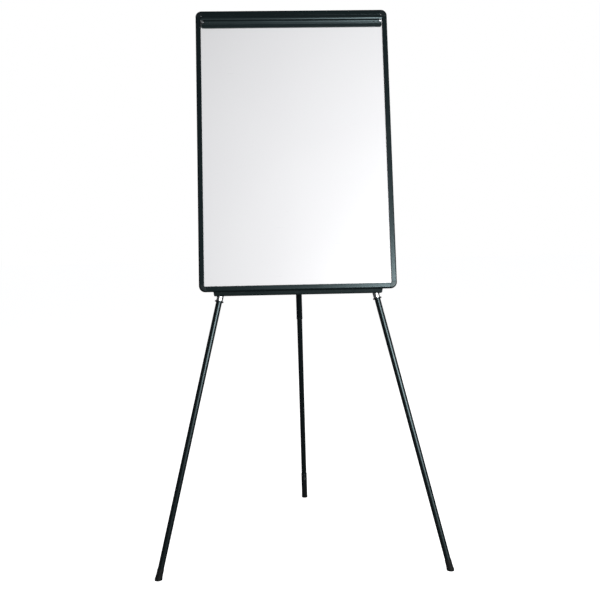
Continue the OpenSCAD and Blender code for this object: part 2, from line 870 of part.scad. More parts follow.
writing_surface();
panel_core();
backing_sheet();
rail_left();
rail_right();
rail_bottom();
rail_top();
corner_bottom(left);  // corner_bottom_left
corner_bottom(right);  // corner_bottom_right
corner_top(left);  // corner_top_left
corner_top(right);  // corner_top_right
corner_screws();
hinge_rail();
clamp_bar();
clamp_end(left);  // clamp_end_left
clamp_end(right);  // clamp_end_right
clamp_screws();
grip_strip();
clamp_lug(left);  // clamp_lug_left
clamp_lug(right);  // clamp_lug_right
clamp_pin(left);  // clamp_pin_left
clamp_pin(right);  // clamp_pin_right
clamp_spring(left);  // clamp_spring_left
clamp_spring(right);  // clamp_spring_right
crown_plate();
crown_housing();
crown_screws();
pivot_pin(left);  // left_pivot_pin
pivot_pin(right);  // right_pivot_pin
rear_clevis();
clevis_rivets();
rear_pivot_pin();
guide_front();
guide_strap();
guide_end(left);  // guide_end_left
guide_end(right);  // guide_end_right
guide_spacer();
guide_screws();
front_upper_tube(left);  // left_upper_tube
front_plug(left);  // left_top_plug
front_collar(left);  // left_collar
front_knob(left);  // left_lock_knob
front_lower_tube(left);  // left_lower_tube
front_guide_plug(left);  // left_guide_plug
foot(left);  // left_foot
front_upper_tube(right);  // right_upper_tube
front_plug(right);  // right_top_plug
front_collar(right);  // right_collar
front_knob(right);  // right_lock_knob
front_lower_tube(right);  // right_lower_tube
front_guide_plug(right);  // right_guide_plug
foot(right);  // right_foot
rear_upper_tube();
rear_top_plug();
rear_collar();
rear_lock_knob();
rear_lower_tube();
rear_guide_plug();
rear_foot_sleeve();
rear_foot();
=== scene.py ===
"""Looks of the flipchart easel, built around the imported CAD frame.

Outlines are drawn in millimetres in the space of the part they belong to (the board, or one leg), and
are scaled to metres when their piece is placed. Each piece remembers where its points were in its own
space, so that the grain of a material runs along it.
"""
import json
import math

import bmesh
import bpy
from mathutils import Matrix, Vector


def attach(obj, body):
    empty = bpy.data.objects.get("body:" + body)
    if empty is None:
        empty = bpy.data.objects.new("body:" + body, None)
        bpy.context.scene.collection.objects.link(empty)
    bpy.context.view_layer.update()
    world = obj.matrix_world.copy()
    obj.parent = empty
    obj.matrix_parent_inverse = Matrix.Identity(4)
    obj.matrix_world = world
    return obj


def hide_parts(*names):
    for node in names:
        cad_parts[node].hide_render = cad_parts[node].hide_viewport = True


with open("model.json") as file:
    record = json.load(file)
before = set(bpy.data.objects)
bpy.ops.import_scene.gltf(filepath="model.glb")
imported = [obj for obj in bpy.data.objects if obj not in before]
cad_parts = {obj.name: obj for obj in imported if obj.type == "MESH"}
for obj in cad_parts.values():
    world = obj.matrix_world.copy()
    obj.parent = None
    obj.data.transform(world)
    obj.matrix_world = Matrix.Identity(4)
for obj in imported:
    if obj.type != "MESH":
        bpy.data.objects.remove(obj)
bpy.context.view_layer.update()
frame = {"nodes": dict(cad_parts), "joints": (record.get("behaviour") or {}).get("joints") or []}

MM = 0.001
LEFT, RIGHT = -1, 1

# ---- Driving dimensions, as in the CAD, in millimetres ----

BOARD_W, BOARD_H = 700, 1030
RAIL_FACE, RAIL_DEPTH, RAIL_SEAM = 19, 15, 0.1
CORNER_R, CORNER_ARM = 22, 3
CORNER_LEN = CORNER_R + CORNER_ARM
GROOVE_W = 8
SURFACE_D, PANEL_BACK = 4, 13
PANEL_W, PANEL_H = BOARD_W - 2 * (RAIL_FACE - GROOVE_W), BOARD_H - 2 * (RAIL_FACE - GROOVE_W)
PANEL_CORNER = CORNER_R - (RAIL_FACE - GROOVE_W)
SKIN, SKIN_BEVEL = 0.5, 0.15

BARREL_R, CLAMP_WALL, CLAMP_DROP, CLAMP_AXIS_DROP = 8.5, 2, 20, 46.5
FACE_LEAN, FACE_FROM, NOSE_LEAN, KNEE_DROP = 12, BARREL_R - 0.3, 45, 11
CLAMP_W, CLAMP_NOTCH, NOTCH_DROP, LIP_FLANGE, LIP_CORNER_R = 655, 10, 8, 7, 5
BARREL_W = CLAMP_W - 2 * CLAMP_NOTCH
CLAMP_PLUG_LEN, CLAMP_PIN_R = 24, 2
CLAMP_SCREW_X, CLAMP_SCREW_DROP = BARREL_W / 2 - 18.5, 3.3
LUG_GAP, LUG_W, CLAMP_GAP = 1, 8, 1
CLAMP_PIN_PROUD, CLAMP_PIN_IN, CLAMP_SEAT, CLAMP_SEAT_R = 0.5, 14, 0.6, 2.5
SPRING_R, SPRING_WIRE, SPRING_TURNS, SPRING_ARM, SPRING_GAP = 3.7, 0.6, 8, 9, 0.05
GRIP_T, GRIP_RIBS, GRIP_SHORT = 0.8, 6, 6
HINGE_RAIL_LOW = BOARD_H - CLAMP_AXIS_DROP + BARREL_R + 2
HINGE_RAIL_R, HINGE_RAIL_OUT, HINGE_RAIL_CREST = 21, 2.2, 7.2
HINGE_RAIL_TURN, HINGE_RAIL_RUN_IN = 10, 21.5

GUIDE_W, GUIDE_TOP, GUIDE_DROP, GUIDE_SHEET, BEAD_R = 600, 16, 15, 1.5, 2
STRAP_BOTTOM, GUIDE_CUT, STRAP_CUT = -11, 6, 5
UPPER_R, LOWER_R, UPPER_WALL, LOWER_WALL = 12, 10.6, 0.9, 1.2
PIVOT_H, PIVOT_X, LEG_D = 900, 64, 29
STRAP_D = LEG_D + UPPER_R + 0.5
CROWN_BACK, CROWN_SHEET, CROWN_W = STRAP_D + 1, 2, 180
REAR_EAR_OUT, REAR_PIVOT_BACK = 15.5, 12.5
REAR_PIN_R, REAR_HEAD_R, REAR_HEAD_T, WASHER_R, WASHER_T = 4, 6.5, 3, 6, 1.5
FRONT_UPPER = (PIVOT_H + 30) / math.cos(math.radians(13.1))
REAR_UPPER = 1055
TUBE_START, LOWER_START, KNOB_UP, KNOB_BOSS_R, KNOB_BOSS_Y = 22, 70, 8, 4.5, 16
KNOB_HOLE_R, BOSS_SINK = 2.6, 0.8
FLANGE_R, FLANGE_T, BUSH_GAP, BUSH_LEN, BUSH_FIT = 15.5, 4.5, 0.05, 29.8, 0.02
REAR_FLANGE_R, FLANGE_NOTCHES, NOTCH_DEPTH = UPPER_R + 0.6, 30, 0.25
FOOT_LEN, FOOT_END, FOOT_RIM, BELOW_FLOOR = 38, 8, 13, 6
FOOT_RINGS, FOOT_RING_UP, FOOT_RING_PITCH = 3, 18, 5
SLEEVE_R, SLEEVE_LEN, TIP_LEN, TIP_PLUG = 12, 111, 9, 20
SLEEVE_RINGS, SLEEVE_RING_DOWN, SLEEVE_RING_PITCH = 4, 14, 4

CORNER_SCREW_IN, CROWN_SCREW_OUT, CROWN_SCREW_ROWS = 15, 7, (-32, 42)
GUIDE_SCREW_IN, GUIDE_SCREW_MID, GUIDE_SCREW_UP = 11, 30, 5
RIVET_OUT, RIVET_ROWS = 19.5, (-22, 28)
# Each screw or rivet: head radius, head height, shaft radius, and how far down its tip is
CORNER_SCREW, CROWN_SCREW, GUIDE_SCREW = (3, 1.2, 1.5, -8), (4, 2.2, 2, -9), (4, 2.2, 2, -32)
CLAMP_SCREW, RIVET = (2.3, 1, 1.4, -4.5), (3.5, 1.6, 2, -4.5)
PIVOT_BOLT = (7, 3.5, 4, PANEL_BACK - CROWN_BACK - CROWN_SHEET)

# ---- Spaces of the board and the legs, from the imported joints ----

joints = {j["name"]: j for j in frame["joints"]}


def space(origin, depth, up):
    """The matrix of a space with its zero at origin, X across, Y along depth and Z along up."""
    y, z = Vector(depth).normalized(), Vector(up).normalized()
    x = y.cross(z)
    return Matrix.Translation(origin) @ Matrix((x, y, z)).transposed().to_4x4()


def board_space():
    swing = joints["right_leg_swing"]
    depth = Vector(swing["axis"]).normalized()
    up = Vector((1, 0, 0)).cross(depth)
    from_pivot = Vector((PIVOT_X, 0, 0)) + LEG_D * depth + PIVOT_H * up
    return space(Vector(swing["pos_m"]) - from_pivot * MM, depth, up)


def leg_space(name):
    """A leg's own space: zero at its pivot, Z up along it, Y towards its lock knob."""
    return space(
        joints[name + "_leg_swing"]["pos_m"],
        joints[name + "_knob_turn"]["axis"],
        joints[name + "_leg_slide"]["axis"],
    )


def at(x=0, y=0, z=0):
    return Matrix.Translation(Vector((x, y, z)) * MM)


BOARD = board_space()
LEGS = {name: leg_space(name) for name in ("left", "right", "rear")}
CLAMP = BOARD @ at(0, SURFACE_D - BARREL_R - CLAMP_GAP, BOARD_H - CLAMP_AXIS_DROP)


def rear_pivot_space():
    """Zero at the rear pivot: X along its pin, which hangs a little to one side, Y back from the board."""
    swing = joints["rear_leg_swing"]
    along, depth = -Vector(swing["axis"]), Vector(joints["right_leg_swing"]["axis"])
    return space(swing["pos_m"], depth, along.cross(depth))


REAR_PIVOT = rear_pivot_space()


def floor_distance(name):
    """How far down its own axis a leg meets the floor, in millimetres."""
    top, up = LEGS[name].translation, LEGS[name].col[2]
    return top.z / up.z / MM


def turned(x, y, z):
    """Turns a drawing: x, y and z are the directions that its own X, Y and Z take."""
    return Matrix((x, y, z)).transposed().to_4x4()


ALONG_X = turned((0, 1, 0), (0, 0, 1), (1, 0, 0))
ALONG_Y = turned((0, 0, 1), (1, 0, 0), (0, 1, 0))
FACING = turned((1, 0, 0), (0, 0, 1), (0, -1, 0))

# ---- Outlines and meshes ----

# Less than this many millimetres counts as nothing
TINY = 1e-4
END_BEVEL = 0.3
WEAR_ANGLE, SHARP_ANGLE, BEVEL_ANGLE, FLAT_ANGLE = [math.radians(a) for a in (14, 40, 35, 0.5)]


def outward(bm):
    bmesh.ops.recalc_face_normals(bm, faces=bm.faces)
    return bm


def moved(bm, matrix):
    """Transforms a mesh, and turns its faces out again in case the matrix mirrors it."""
    bm.transform(matrix)
    return outward(bm)


def finished(bm, name):
    """Blender's own mesh of bm, which is freed."""
    mesh = bpy.data.meshes.new(name)
    bm.to_mesh(mesh)
    bm.free()
    return mesh


def add_object(name, data):
    obj = bpy.data.objects.new(name, data)
    bpy.context.scene.collection.objects.link(obj)
    return obj


def outline(corners):
    """A closed outline from (x, y, fillet radius) corners."""
    points = []
    for i, (x, y, r) in enumerate(corners):
        here = Vector((x, y))
        if r <= 0:
            points.append(here)
            continue
        before = (Vector(corners[i - 1][:2]) - here).normalized()
        after = (Vector(corners[(i + 1) % len(corners)][:2]) - here).normalized()
        half = before.angle(after) / 2
        centre = here + (before + after).normalized() * (r / math.sin(half))
        first = here + before * (r / math.tan(half)) - centre
        last = here + after * (r / math.tan(half)) - centre
        turn = first.angle_signed(last)
        # Larger fillets get more points
        steps = 8 if r > 2 else 4 if r > 0.6 else 2
        for k in range(steps + 1):
            angle = -turn * k / steps
            points.append(centre + Matrix.Rotation(angle, 2) @ first)
    return points


def arc(cx, cy, r, start, end, steps):
    """Points of an arc, in degrees."""
    angles = [math.radians(start + (end - start) * k / steps) for k in range(steps + 1)]
    return [Vector((cx + r * math.cos(a), cy + r * math.sin(a))) for a in angles]


def extrude(points, length, end_bevel=END_BEVEL):
    """Runs an outline up Z from 0, with small bevels on its two ends."""
    bm = bmesh.new()
    low = [bm.verts.new((p[0], p[1], 0)) for p in points]
    high = [bm.verts.new((p[0], p[1], length)) for p in points]
    count = len(points)
    for i in range(count):
        j = (i + 1) % count
        bm.faces.new((low[i], low[j], high[j], high[i]))
    caps = [bm.faces.new(low[::-1]), bm.faces.new(high)]
    outward(bm)
    if end_bevel:
        edges = [e for cap in caps for e in cap.edges]
        bmesh.ops.bevel(bm, geom=edges, offset=end_bevel, segments=2, profile=0.5, affect="EDGES")
    return bm


def lathe(points, segments):
    """Turns an outline of (radius, z) about Z. It is closed through the axis or back to its start."""
    bm = bmesh.new()
    rings = []
    for r, z in points:
        if r < TINY:
            rings.append([bm.verts.new((0, 0, z))])
            continue
        angles = [math.tau * k / segments for k in range(segments)]
        rings.append([bm.verts.new((r * math.cos(a), r * math.sin(a), z)) for a in angles])
    for ring, following in zip(rings, rings[1:] + rings[:1]):
        if len(ring) == 1 and len(following) == 1:
            continue
        for i in range(segments):
            j = (i + 1) % segments
            corners = [ring[i % len(ring)], ring[j % len(ring)]]
            corners += [following[j % len(following)], following[i % len(following)]]
            bm.faces.new(list(dict.fromkeys(corners)))
    return outward(bm)


def sweep(section, path):
    """Carries a section of (u, v) along path, a list of (point, u direction, v direction)."""
    bm = bmesh.new()
    rings = [[bm.verts.new(p + u * a + v * b) for a, b in section] for p, u, v in path]
    count = len(section)
    for ring, following in zip(rings, rings[1:]):
        for i in range(count):
            j = (i + 1) % count
            bm.faces.new((ring[i], ring[j], following[j], following[i]))
    bm.faces.new(rings[0][::-1])
    bm.faces.new(rings[-1])
    return outward(bm)


def cut(bm, point, normal):
    """Cuts away what lies on the normal's side of a plane, and closes the cut."""
    geometry = bm.verts[:] + bm.edges[:] + bm.faces[:]
    result = bmesh.ops.bisect_plane(
        bm, geom=geometry, plane_co=point, plane_no=normal, clear_outer=True, dist=TINY / 10
    )
    edges = [e for e in result["geom_cut"] if isinstance(e, bmesh.types.BMEdge)]
    bmesh.ops.holes_fill(bm, edges=edges, sides=0)
    outward(bm)


def merged(*parts):
    """One mesh that holds several, each with the matrix that places it, in millimetres."""
    whole = bmesh.new()
    for bm, matrix in parts:
        bm.transform(matrix)
        mesh = finished(bm, "part")
        whole.from_mesh(mesh)
        bpy.data.meshes.remove(mesh)
    return whole


def mark_wear(bm):
    """Marks every vertex on a convex edge, for the materials' worn edges."""
    layer = bm.verts.layers.float.new("wear")
    for edge in bm.edges:
        if len(edge.link_faces) == 2 and edge.calc_face_angle_signed(0) > WEAR_ANGLE:
            for vertex in edge.verts:
                vertex[layer] = 1.0


def piece(name, bm, matrix, body, slot, node):
    """Makes a shown piece from a mesh in millimetres, which rides on a body and stands for a CAD node."""
    bmesh.ops.scale(bm, vec=(MM,) * 3, verts=bm.verts)
    mark_wear(bm)
    own = bm.verts.layers.float_vector.new("own")
    for vertex in bm.verts:
        vertex[own] = vertex.co
    bm.transform(matrix)
    mesh = finished(bm, name)
    mesh.shade_smooth()
    mesh.set_sharp_from_angle(angle=SHARP_ANGLE)
    obj = add_object(name, mesh)
    obj.modifiers.new("flat_faces_stay_flat", "WEIGHTED_NORMAL").keep_sharp = True
    mesh.materials.append(MATERIALS[slot])
    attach(obj, body)
    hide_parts(node)


def cad_piece(name, node, matrix, body, slot, width, segments=2):
    """A piece that keeps its CAD node's shape, with the flats joined and the edges bevelled by width."""
    weld = 0.002
    bm = bmesh.new()
    bm.from_mesh(frame["nodes"][node].data)
    bm.transform(Matrix.Diagonal((1 / MM,) * 3 + (1,)) @ matrix.inverted())
    bmesh.ops.remove_doubles(bm, verts=bm.verts, dist=weld)
    bmesh.ops.dissolve_limit(
        bm, angle_limit=FLAT_ANGLE, verts=bm.verts, edges=bm.edges, delimit={"NORMAL"}
    )
    outward(bm)
    sharp = [e for e in bm.edges if len(e.link_faces) == 2 and e.calc_face_angle(0) > BEVEL_ANGLE]
    bmesh.ops.bevel(
        bm, geom=sharp, offset=width, segments=segments, profile=0.5, affect="EDGES", clamp_overlap=True
    )
    piece(name, bm, matrix, body, slot, node)


# ---- Materials ----


class Paint:
    """A procedural material on the piece's own coordinates, in metres."""

    def __init__(self, name, colour, roughness, metallic=0.0):
        self.material = bpy.data.materials.new(name)
        self.material.use_nodes = True
        self.tree = self.material.node_tree
        self.shader = self.tree.nodes["Principled BSDF"]
        self.set("Base Color", (*colour, 1))
        self.set("Roughness", roughness)
        self.set("Metallic", metallic)
        self.coordinates = self.attribute("own").outputs["Vector"]

    def set(self, socket, value):
        self.shader.inputs[socket].default_value = value

    def link(self, source, target):
        self.tree.links.new(source, target)

    def attribute(self, name):
        node = self.tree.nodes.new("ShaderNodeAttribute")
        node.attribute_name = name
        return node

    def texture(self, kind, scale):
        """A texture node, scaled along each of the piece's axes."""
        mapping = self.tree.nodes.new("ShaderNodeMapping")
        mapping.inputs["Scale"].default_value = scale
        texture = self.tree.nodes.new(kind)
        texture.inputs["Scale"].default_value = 1
        self.link(self.coordinates, mapping.inputs["Vector"])
        self.link(mapping.outputs["Vector"], texture.inputs["Vector"])
        return texture

    def noise(self, size, detail, stretch=(1, 1, 1)):
        """Noise whose features are size metres across, stretched along the piece's axes."""
        texture = self.texture("ShaderNodeTexNoise", [1 / (size * s) for s in stretch])
        texture.inputs["Detail"].default_value = detail
        texture.inputs["Roughness"].default_value = 0.55
        return texture.outputs["Fac"]

    def cells(self, size):
        """Distance to the nearest of random points size metres apart."""
        return self.texture("ShaderNodeTexVoronoi", (1 / size,) * 3).outputs["Distance"]

    def math(self, operation, a, b):
        node = self.tree.nodes.new("ShaderNodeMath")
        node.operation = operation
        self.link(a, node.inputs[0])
        self.link(b, node.inputs[1])
        return node.outputs["Value"]

    def remap(self, source, low, high, to_low=0.0, to_high=1.0):
        node = self.tree.nodes.new("ShaderNodeMapRange")
        for name, value in (("From Min", low), ("From Max", high), ("To Min", to_low), ("To Max", to_high)):
            node.inputs[name].default_value = value
        self.link(source, node.inputs["Value"])
        return node.outputs["Result"]

    def mix(self, factor, a, b):
        """Blends two colours; a or b may be an earlier mix."""
        node = self.tree.nodes.new("ShaderNodeMix")
        node.data_type = "RGBA"
        self.link(factor, node.inputs["Factor"])
        # Inputs 6 and 7 and output 2 are the node's sockets for colours
        for source, target in ((a, node.inputs[6]), (b, node.inputs[7])):
            if isinstance(source, tuple):
                target.default_value = (*source, 1)
            else:
                self.link(source, target)
        return node.outputs[2]

    def colour(self, source):
        self.link(source, self.shader.inputs["Base Color"])

    def roughness(self, source):
        self.link(source, self.shader.inputs["Roughness"])

    def bump(self, *layers):
        """Stacks bumps: each layer is (height, depth in metres)."""
        previous = None
        for height, depth in layers:
            node = self.tree.nodes.new("ShaderNodeBump")
            node.inputs["Distance"].default_value = depth
            self.link(height, node.inputs["Height"])
            if previous:
                self.link(previous, node.inputs["Normal"])
            previous = node.outputs["Normal"]
        self.link(previous, self.shader.inputs["Normal"])

    def worn_edges(self, below, shown, amount):
        """Colour of bare material along convex edges, broken up by noise: a higher amount shows less."""
        patch = self.remap(self.noise(0.004, 5), amount, amount + 0.12)
        edges = self.attribute("wear").outputs["Fac"]
        return self.mix(self.math("MULTIPLY", edges, patch), below, shown)


def painted(name, dark, light, worn, rough, peel, grain_along=(1, 1, 1), specular=0.5):
    """Paint or powder coat: slow colour drift, a fine orange peel, and edges rubbed a little lighter."""
    p = Paint(name, dark, rough[0])
    drift = p.mix(p.noise(0.09, 3), dark, light)
    p.colour(p.worn_edges(drift, worn, amount=0.62))
    p.roughness(p.remap(p.noise(0.012, 5, grain_along), 0.3, 0.7, *rough))
    p.bump((p.noise(0.0016, 2, grain_along), peel), (p.noise(0.0004, 2), peel * 0.3))
    p.set("Specular IOR Level", specular)
    p.set("Specular Tint", (0.72, 0.95, 1, 1))
    return p.material


def whiteboard():
    """Glossy dry-wipe enamel: nearly even white, with faint wiping streaks in its gloss."""
    p = Paint("whiteboard_enamel", (0.9, 0.9, 0.915), 0.3)
    p.set("Coat Weight", 0.35)
    p.set("Coat Roughness", 0.12)
    p.colour(p.mix(p.noise(0.3, 2), (0.838, 0.838, 0.852), (0.864, 0.864, 0.874)))
    streaks = p.noise(0.006, 3, (14, 1, 1))
    haze = p.noise(0.2, 2)
    p.roughness(p.remap(p.math("ADD", streaks, haze), 0.6, 1.4, 0.27, 0.33))
    p.bump((p.noise(0.004, 2), 0.00002))
    return p.material


def bare_sheet():
    """Mill-finish sheet on the board's back: rolling lines up the board and a few dull patches."""
    p = Paint("mill_finish", (0.55, 0.56, 0.57), 0.4, metallic=0.25)
    lines = p.noise(0.0012, 3, (1, 1, 120))
    cloud = p.noise(0.12, 4)
    p.colour(p.mix(cloud, (0.46, 0.47, 0.48), (0.6, 0.61, 0.62)))
    p.roughness(p.remap(p.math("ADD", lines, cloud), 0.7, 1.3, 0.34, 0.52))
    p.bump((lines, 0.00001))
    return p.material


def moulded(name, dark, light, worn, rough, grain, depth):
    """Moulded plastic with a spark-eroded grain."""
    p = Paint(name, dark, rough[0])
    p.colour(p.worn_edges(p.mix(p.noise(0.03, 3), dark, light), worn, amount=0.66))
    p.roughness(p.remap(p.noise(0.006, 4), 0.3, 0.7, *rough))
    p.bump((p.cells(grain), depth), (p.noise(grain * 6, 2), depth * 0.5))
    p.set("Specular Tint", (0.8, 0.97, 1, 1))
    return p.material


def chrome():
    """Bright chrome plate on drawn tube: faint lengthwise lines and finger haze."""
    p = Paint("chrome_plate", (0.9, 0.905, 0.915), 0.18, metallic=1.0)
    haze = p.noise(0.025, 4)
    lines = p.noise(0.0009, 3, (1, 1, 60))
    p.colour(p.mix(haze, (0.88, 0.885, 0.895), (0.94, 0.945, 0.955)))
    p.roughness(p.remap(p.math("ADD", haze, lines), 0.75, 1.3, 0.28, 0.36))
    p.bump((lines, 0.000004))
    return p.material


def plated(name, dark, light, rough):
    """Zinc plate, black oxide or bare steel: a mottled tone, patches of duller gloss and a fine tooth."""
    p = Paint(name, light, rough[0], metallic=1.0)
    mottle = p.noise(0.003, 5)
    p.colour(p.mix(mottle, dark, light))
    p.roughness(p.remap(p.noise(0.0015, 4), 0.3, 0.7, *rough))
    p.bump((p.noise(0.0005, 3), 0.000008))
    return p.material


def rubber(name, dark, light):
    """Moulded rubber: dry and matt, with dust held in its grain."""
    p = Paint(name, dark, 0.75)
    dust = p.remap(p.noise(0.008, 6), 0.5, 0.75)
    p.colour(p.mix(dust, dark, light))
    p.roughness(p.remap(p.noise(0.004, 4), 0.3, 0.7, 0.62, 0.85))
    p.bump((p.noise(0.0009, 4), 0.00005))
    p.set("Sheen Weight", 0.04)
    p.set("Specular IOR Level", 0.25)
    return p.material


def honeycomb_board():
    """Raw board of the panel's core, hidden by its skins."""
    p = Paint("raw_board", (0.5, 0.38, 0.25), 0.9)
    p.colour(p.mix(p.noise(0.004, 6), (0.42, 0.31, 0.2), (0.58, 0.46, 0.32)))
    p.bump((p.noise(0.001, 4), 0.0001))
    return p.material


LENGTHWISE = (1, 1, 14)
CHARCOAL = ((0.0045, 0.0085, 0.0095), (0.0065, 0.0115, 0.0125))

# Each has its dark, light and perhaps worn colour, its range of roughness, and its grain in metres
MATERIALS = {
    "whiteboard": whiteboard(),
    "fibre_core": honeycomb_board(),
    "backing": bare_sheet(),
    "rail": painted(
        "satin_charcoal", *CHARCOAL, (0.04, 0.049, 0.051), (0.25, 0.31), 0.00002, LENGTHWISE,
    ),
    "corner_plastic": moulded(
        "corner_moulding", (0.005, 0.0085, 0.0095), (0.008, 0.012, 0.013), (0.04, 0.046, 0.048),
        (0.34, 0.42), 0.0009, 0.00003,
    ),
    "screw_zinc": plated("zinc_plate", (0.5, 0.51, 0.52), (0.72, 0.73, 0.75), (0.22, 0.38)),
    "black_screw": plated("black_oxide", (0.03, 0.03, 0.033), (0.06, 0.06, 0.065), (0.3, 0.45)),
    "clamp_black": painted(
        "clamp_anodised", *CHARCOAL, (0.045, 0.055, 0.057), (0.3, 0.35), 0.00001, LENGTHWISE,
        specular=0.8,
    ),
    "black_plastic": moulded(
        "black_moulding", (0.013, 0.013, 0.014), (0.022, 0.022, 0.023), (0.06, 0.06, 0.06),
        (0.45, 0.58), 0.001, 0.00005,
    ),
    "rubber_grip": rubber("grip_rubber", (0.018, 0.018, 0.018), (0.06, 0.058, 0.055)),
    "lug_zinc": plated("lug_plate", (0.42, 0.44, 0.46), (0.58, 0.6, 0.62), (0.34, 0.44)),
    "spring_steel": plated("spring_wire", (0.32, 0.32, 0.33), (0.5, 0.5, 0.52), (0.25, 0.4)),
    "black_steel": painted(
        "black_powder_coat", (0.005, 0.0085, 0.009), (0.0075, 0.012, 0.0125), (0.05, 0.055, 0.056),
        (0.48, 0.6), 0.00005, specular=0.12,
    ),
    "chrome_tube": chrome(),
    "black_tube": painted(
        "gloss_black", (0.003, 0.005, 0.0055), (0.005, 0.008, 0.0085), (0.05, 0.055, 0.056),
        (0.28, 0.34), 0.000004, LENGTHWISE,
    ),
    "plug_plastic": moulded(
        "plug_moulding", (0.016, 0.016, 0.017), (0.026, 0.026, 0.027), (0.07, 0.07, 0.07),
        (0.42, 0.55), 0.0008, 0.00004,
    ),
    "collar_plastic": moulded(
        "collar_moulding", (0.005, 0.007, 0.0075), (0.009, 0.011, 0.0115), (0.035, 0.038, 0.039),
        (0.26, 0.36), 0.0006, 0.00001,
    ),
    "guide_nylon": moulded(
        "natural_nylon", (0.5, 0.49, 0.45), (0.6, 0.59, 0.55), (0.66, 0.65, 0.6),
        (0.35, 0.5), 0.001, 0.00003,
    ),
    "foot_rubber": rubber("foot_rubber_moulding", (0.005, 0.006, 0.006), (0.016, 0.016, 0.015)),
    "sleeve_plastic": moulded(
        "sleeve_moulding", (0.005, 0.006, 0.0065), (0.009, 0.01, 0.0105), (0.03, 0.032, 0.033),
        (0.36, 0.48), 0.0007, 0.00003,
    ),
}

# ---- Screws, rivets and pins ----


def cross_recess(radius, depth):
    """The four-winged hollow of a cross-head screw, as a solid to cut with."""
    wing, tip, taper = radius * 0.3, radius * 0.95, 0.55
    corners = []
    for quarter in range(4):
        turn = Matrix.Rotation(math.pi / 2 * quarter, 2)
        corners += [turn @ Vector((wing, wing)), turn @ Vector((tip, wing))]
        corners += [turn @ Vector((tip, -wing))]
    points = sorted(corners, key=lambda p: math.atan2(p.y, p.x))
    bm = bmesh.new()
    top = [bm.verts.new((p.x, p.y, 1)) for p in points]
    bottom = [bm.verts.new((p.x * taper, p.y * taper, -depth)) for p in points]
    for i in range(len(points)):
        j = (i + 1) % len(points)
        bm.faces.new((bottom[i], bottom[j], top[j], top[i]))
    bm.faces.new(bottom[::-1])
    bm.faces.new(top)
    return outward(bm)


def subtract(bm, cutter):
    """bm with cutter taken out of it, by an exact boolean."""
    target, tool = [add_object("boolean", finished(source, "boolean")) for source in (bm, cutter)]
    modifier = target.modifiers.new("cut", "BOOLEAN")
    modifier.operation = "DIFFERENCE"
    modifier.solver = "EXACT"
    modifier.object = tool
    graph = bpy.context.evaluated_depsgraph_get()
    result = bmesh.new()
    result.from_mesh(target.evaluated_get(graph).to_mesh())
    for obj in (target, tool):
        bpy.data.meshes.remove(obj.data)
    bmesh.ops.remove_doubles(result, verts=result.verts, dist=TINY)
    return result


def dome_profile(head_r, head_t, shaft_r, tip):
    """A domed head on a shaft: the seat is at z = 0 and the tip points down."""
    edge, chamfer_w, chamfer_h = 0.25, 0.3, 0.4
    shaft = [(0, tip), (shaft_r - chamfer_w, tip), (shaft_r, tip + chamfer_h), (shaft_r, 0), (head_r, 0)]
    angles = [math.radians(a) for a in range(0, 90, 10)]
    dome = [(head_r * math.cos(a), edge + (head_t - edge) * math.sin(a)) for a in angles]
    return shaft + dome + [(0, head_t)]


def screw(head_r, head_t, shaft_r, tip):
    head = lathe(dome_profile(head_r, head_t, shaft_r, tip), 40)
    recess = cross_recess(head_r * 0.6, head_t * 0.7)
    bmesh.ops.translate(recess, vec=(0, 0, head_t), verts=recess.verts)
    return subtract(head, recess)


def group(places, make):
    """Several copies of one mesh, made once and placed by matrices in millimetres."""
    mesh = finished(make(), "copy")
    copies = []
    for place in places:
        bm = bmesh.new()
        bm.from_mesh(mesh)
        copies.append((bm, place))
    bpy.data.meshes.remove(mesh)
    return merged(*copies)


def spot(x, y, z, turn):
    """Where a screw driven in from behind sits, in millimetres, with its cross turned a little."""
    return Matrix.Translation((x, y, z)) @ ALONG_Y @ Matrix.Rotation(math.radians(turn), 4, "Z")


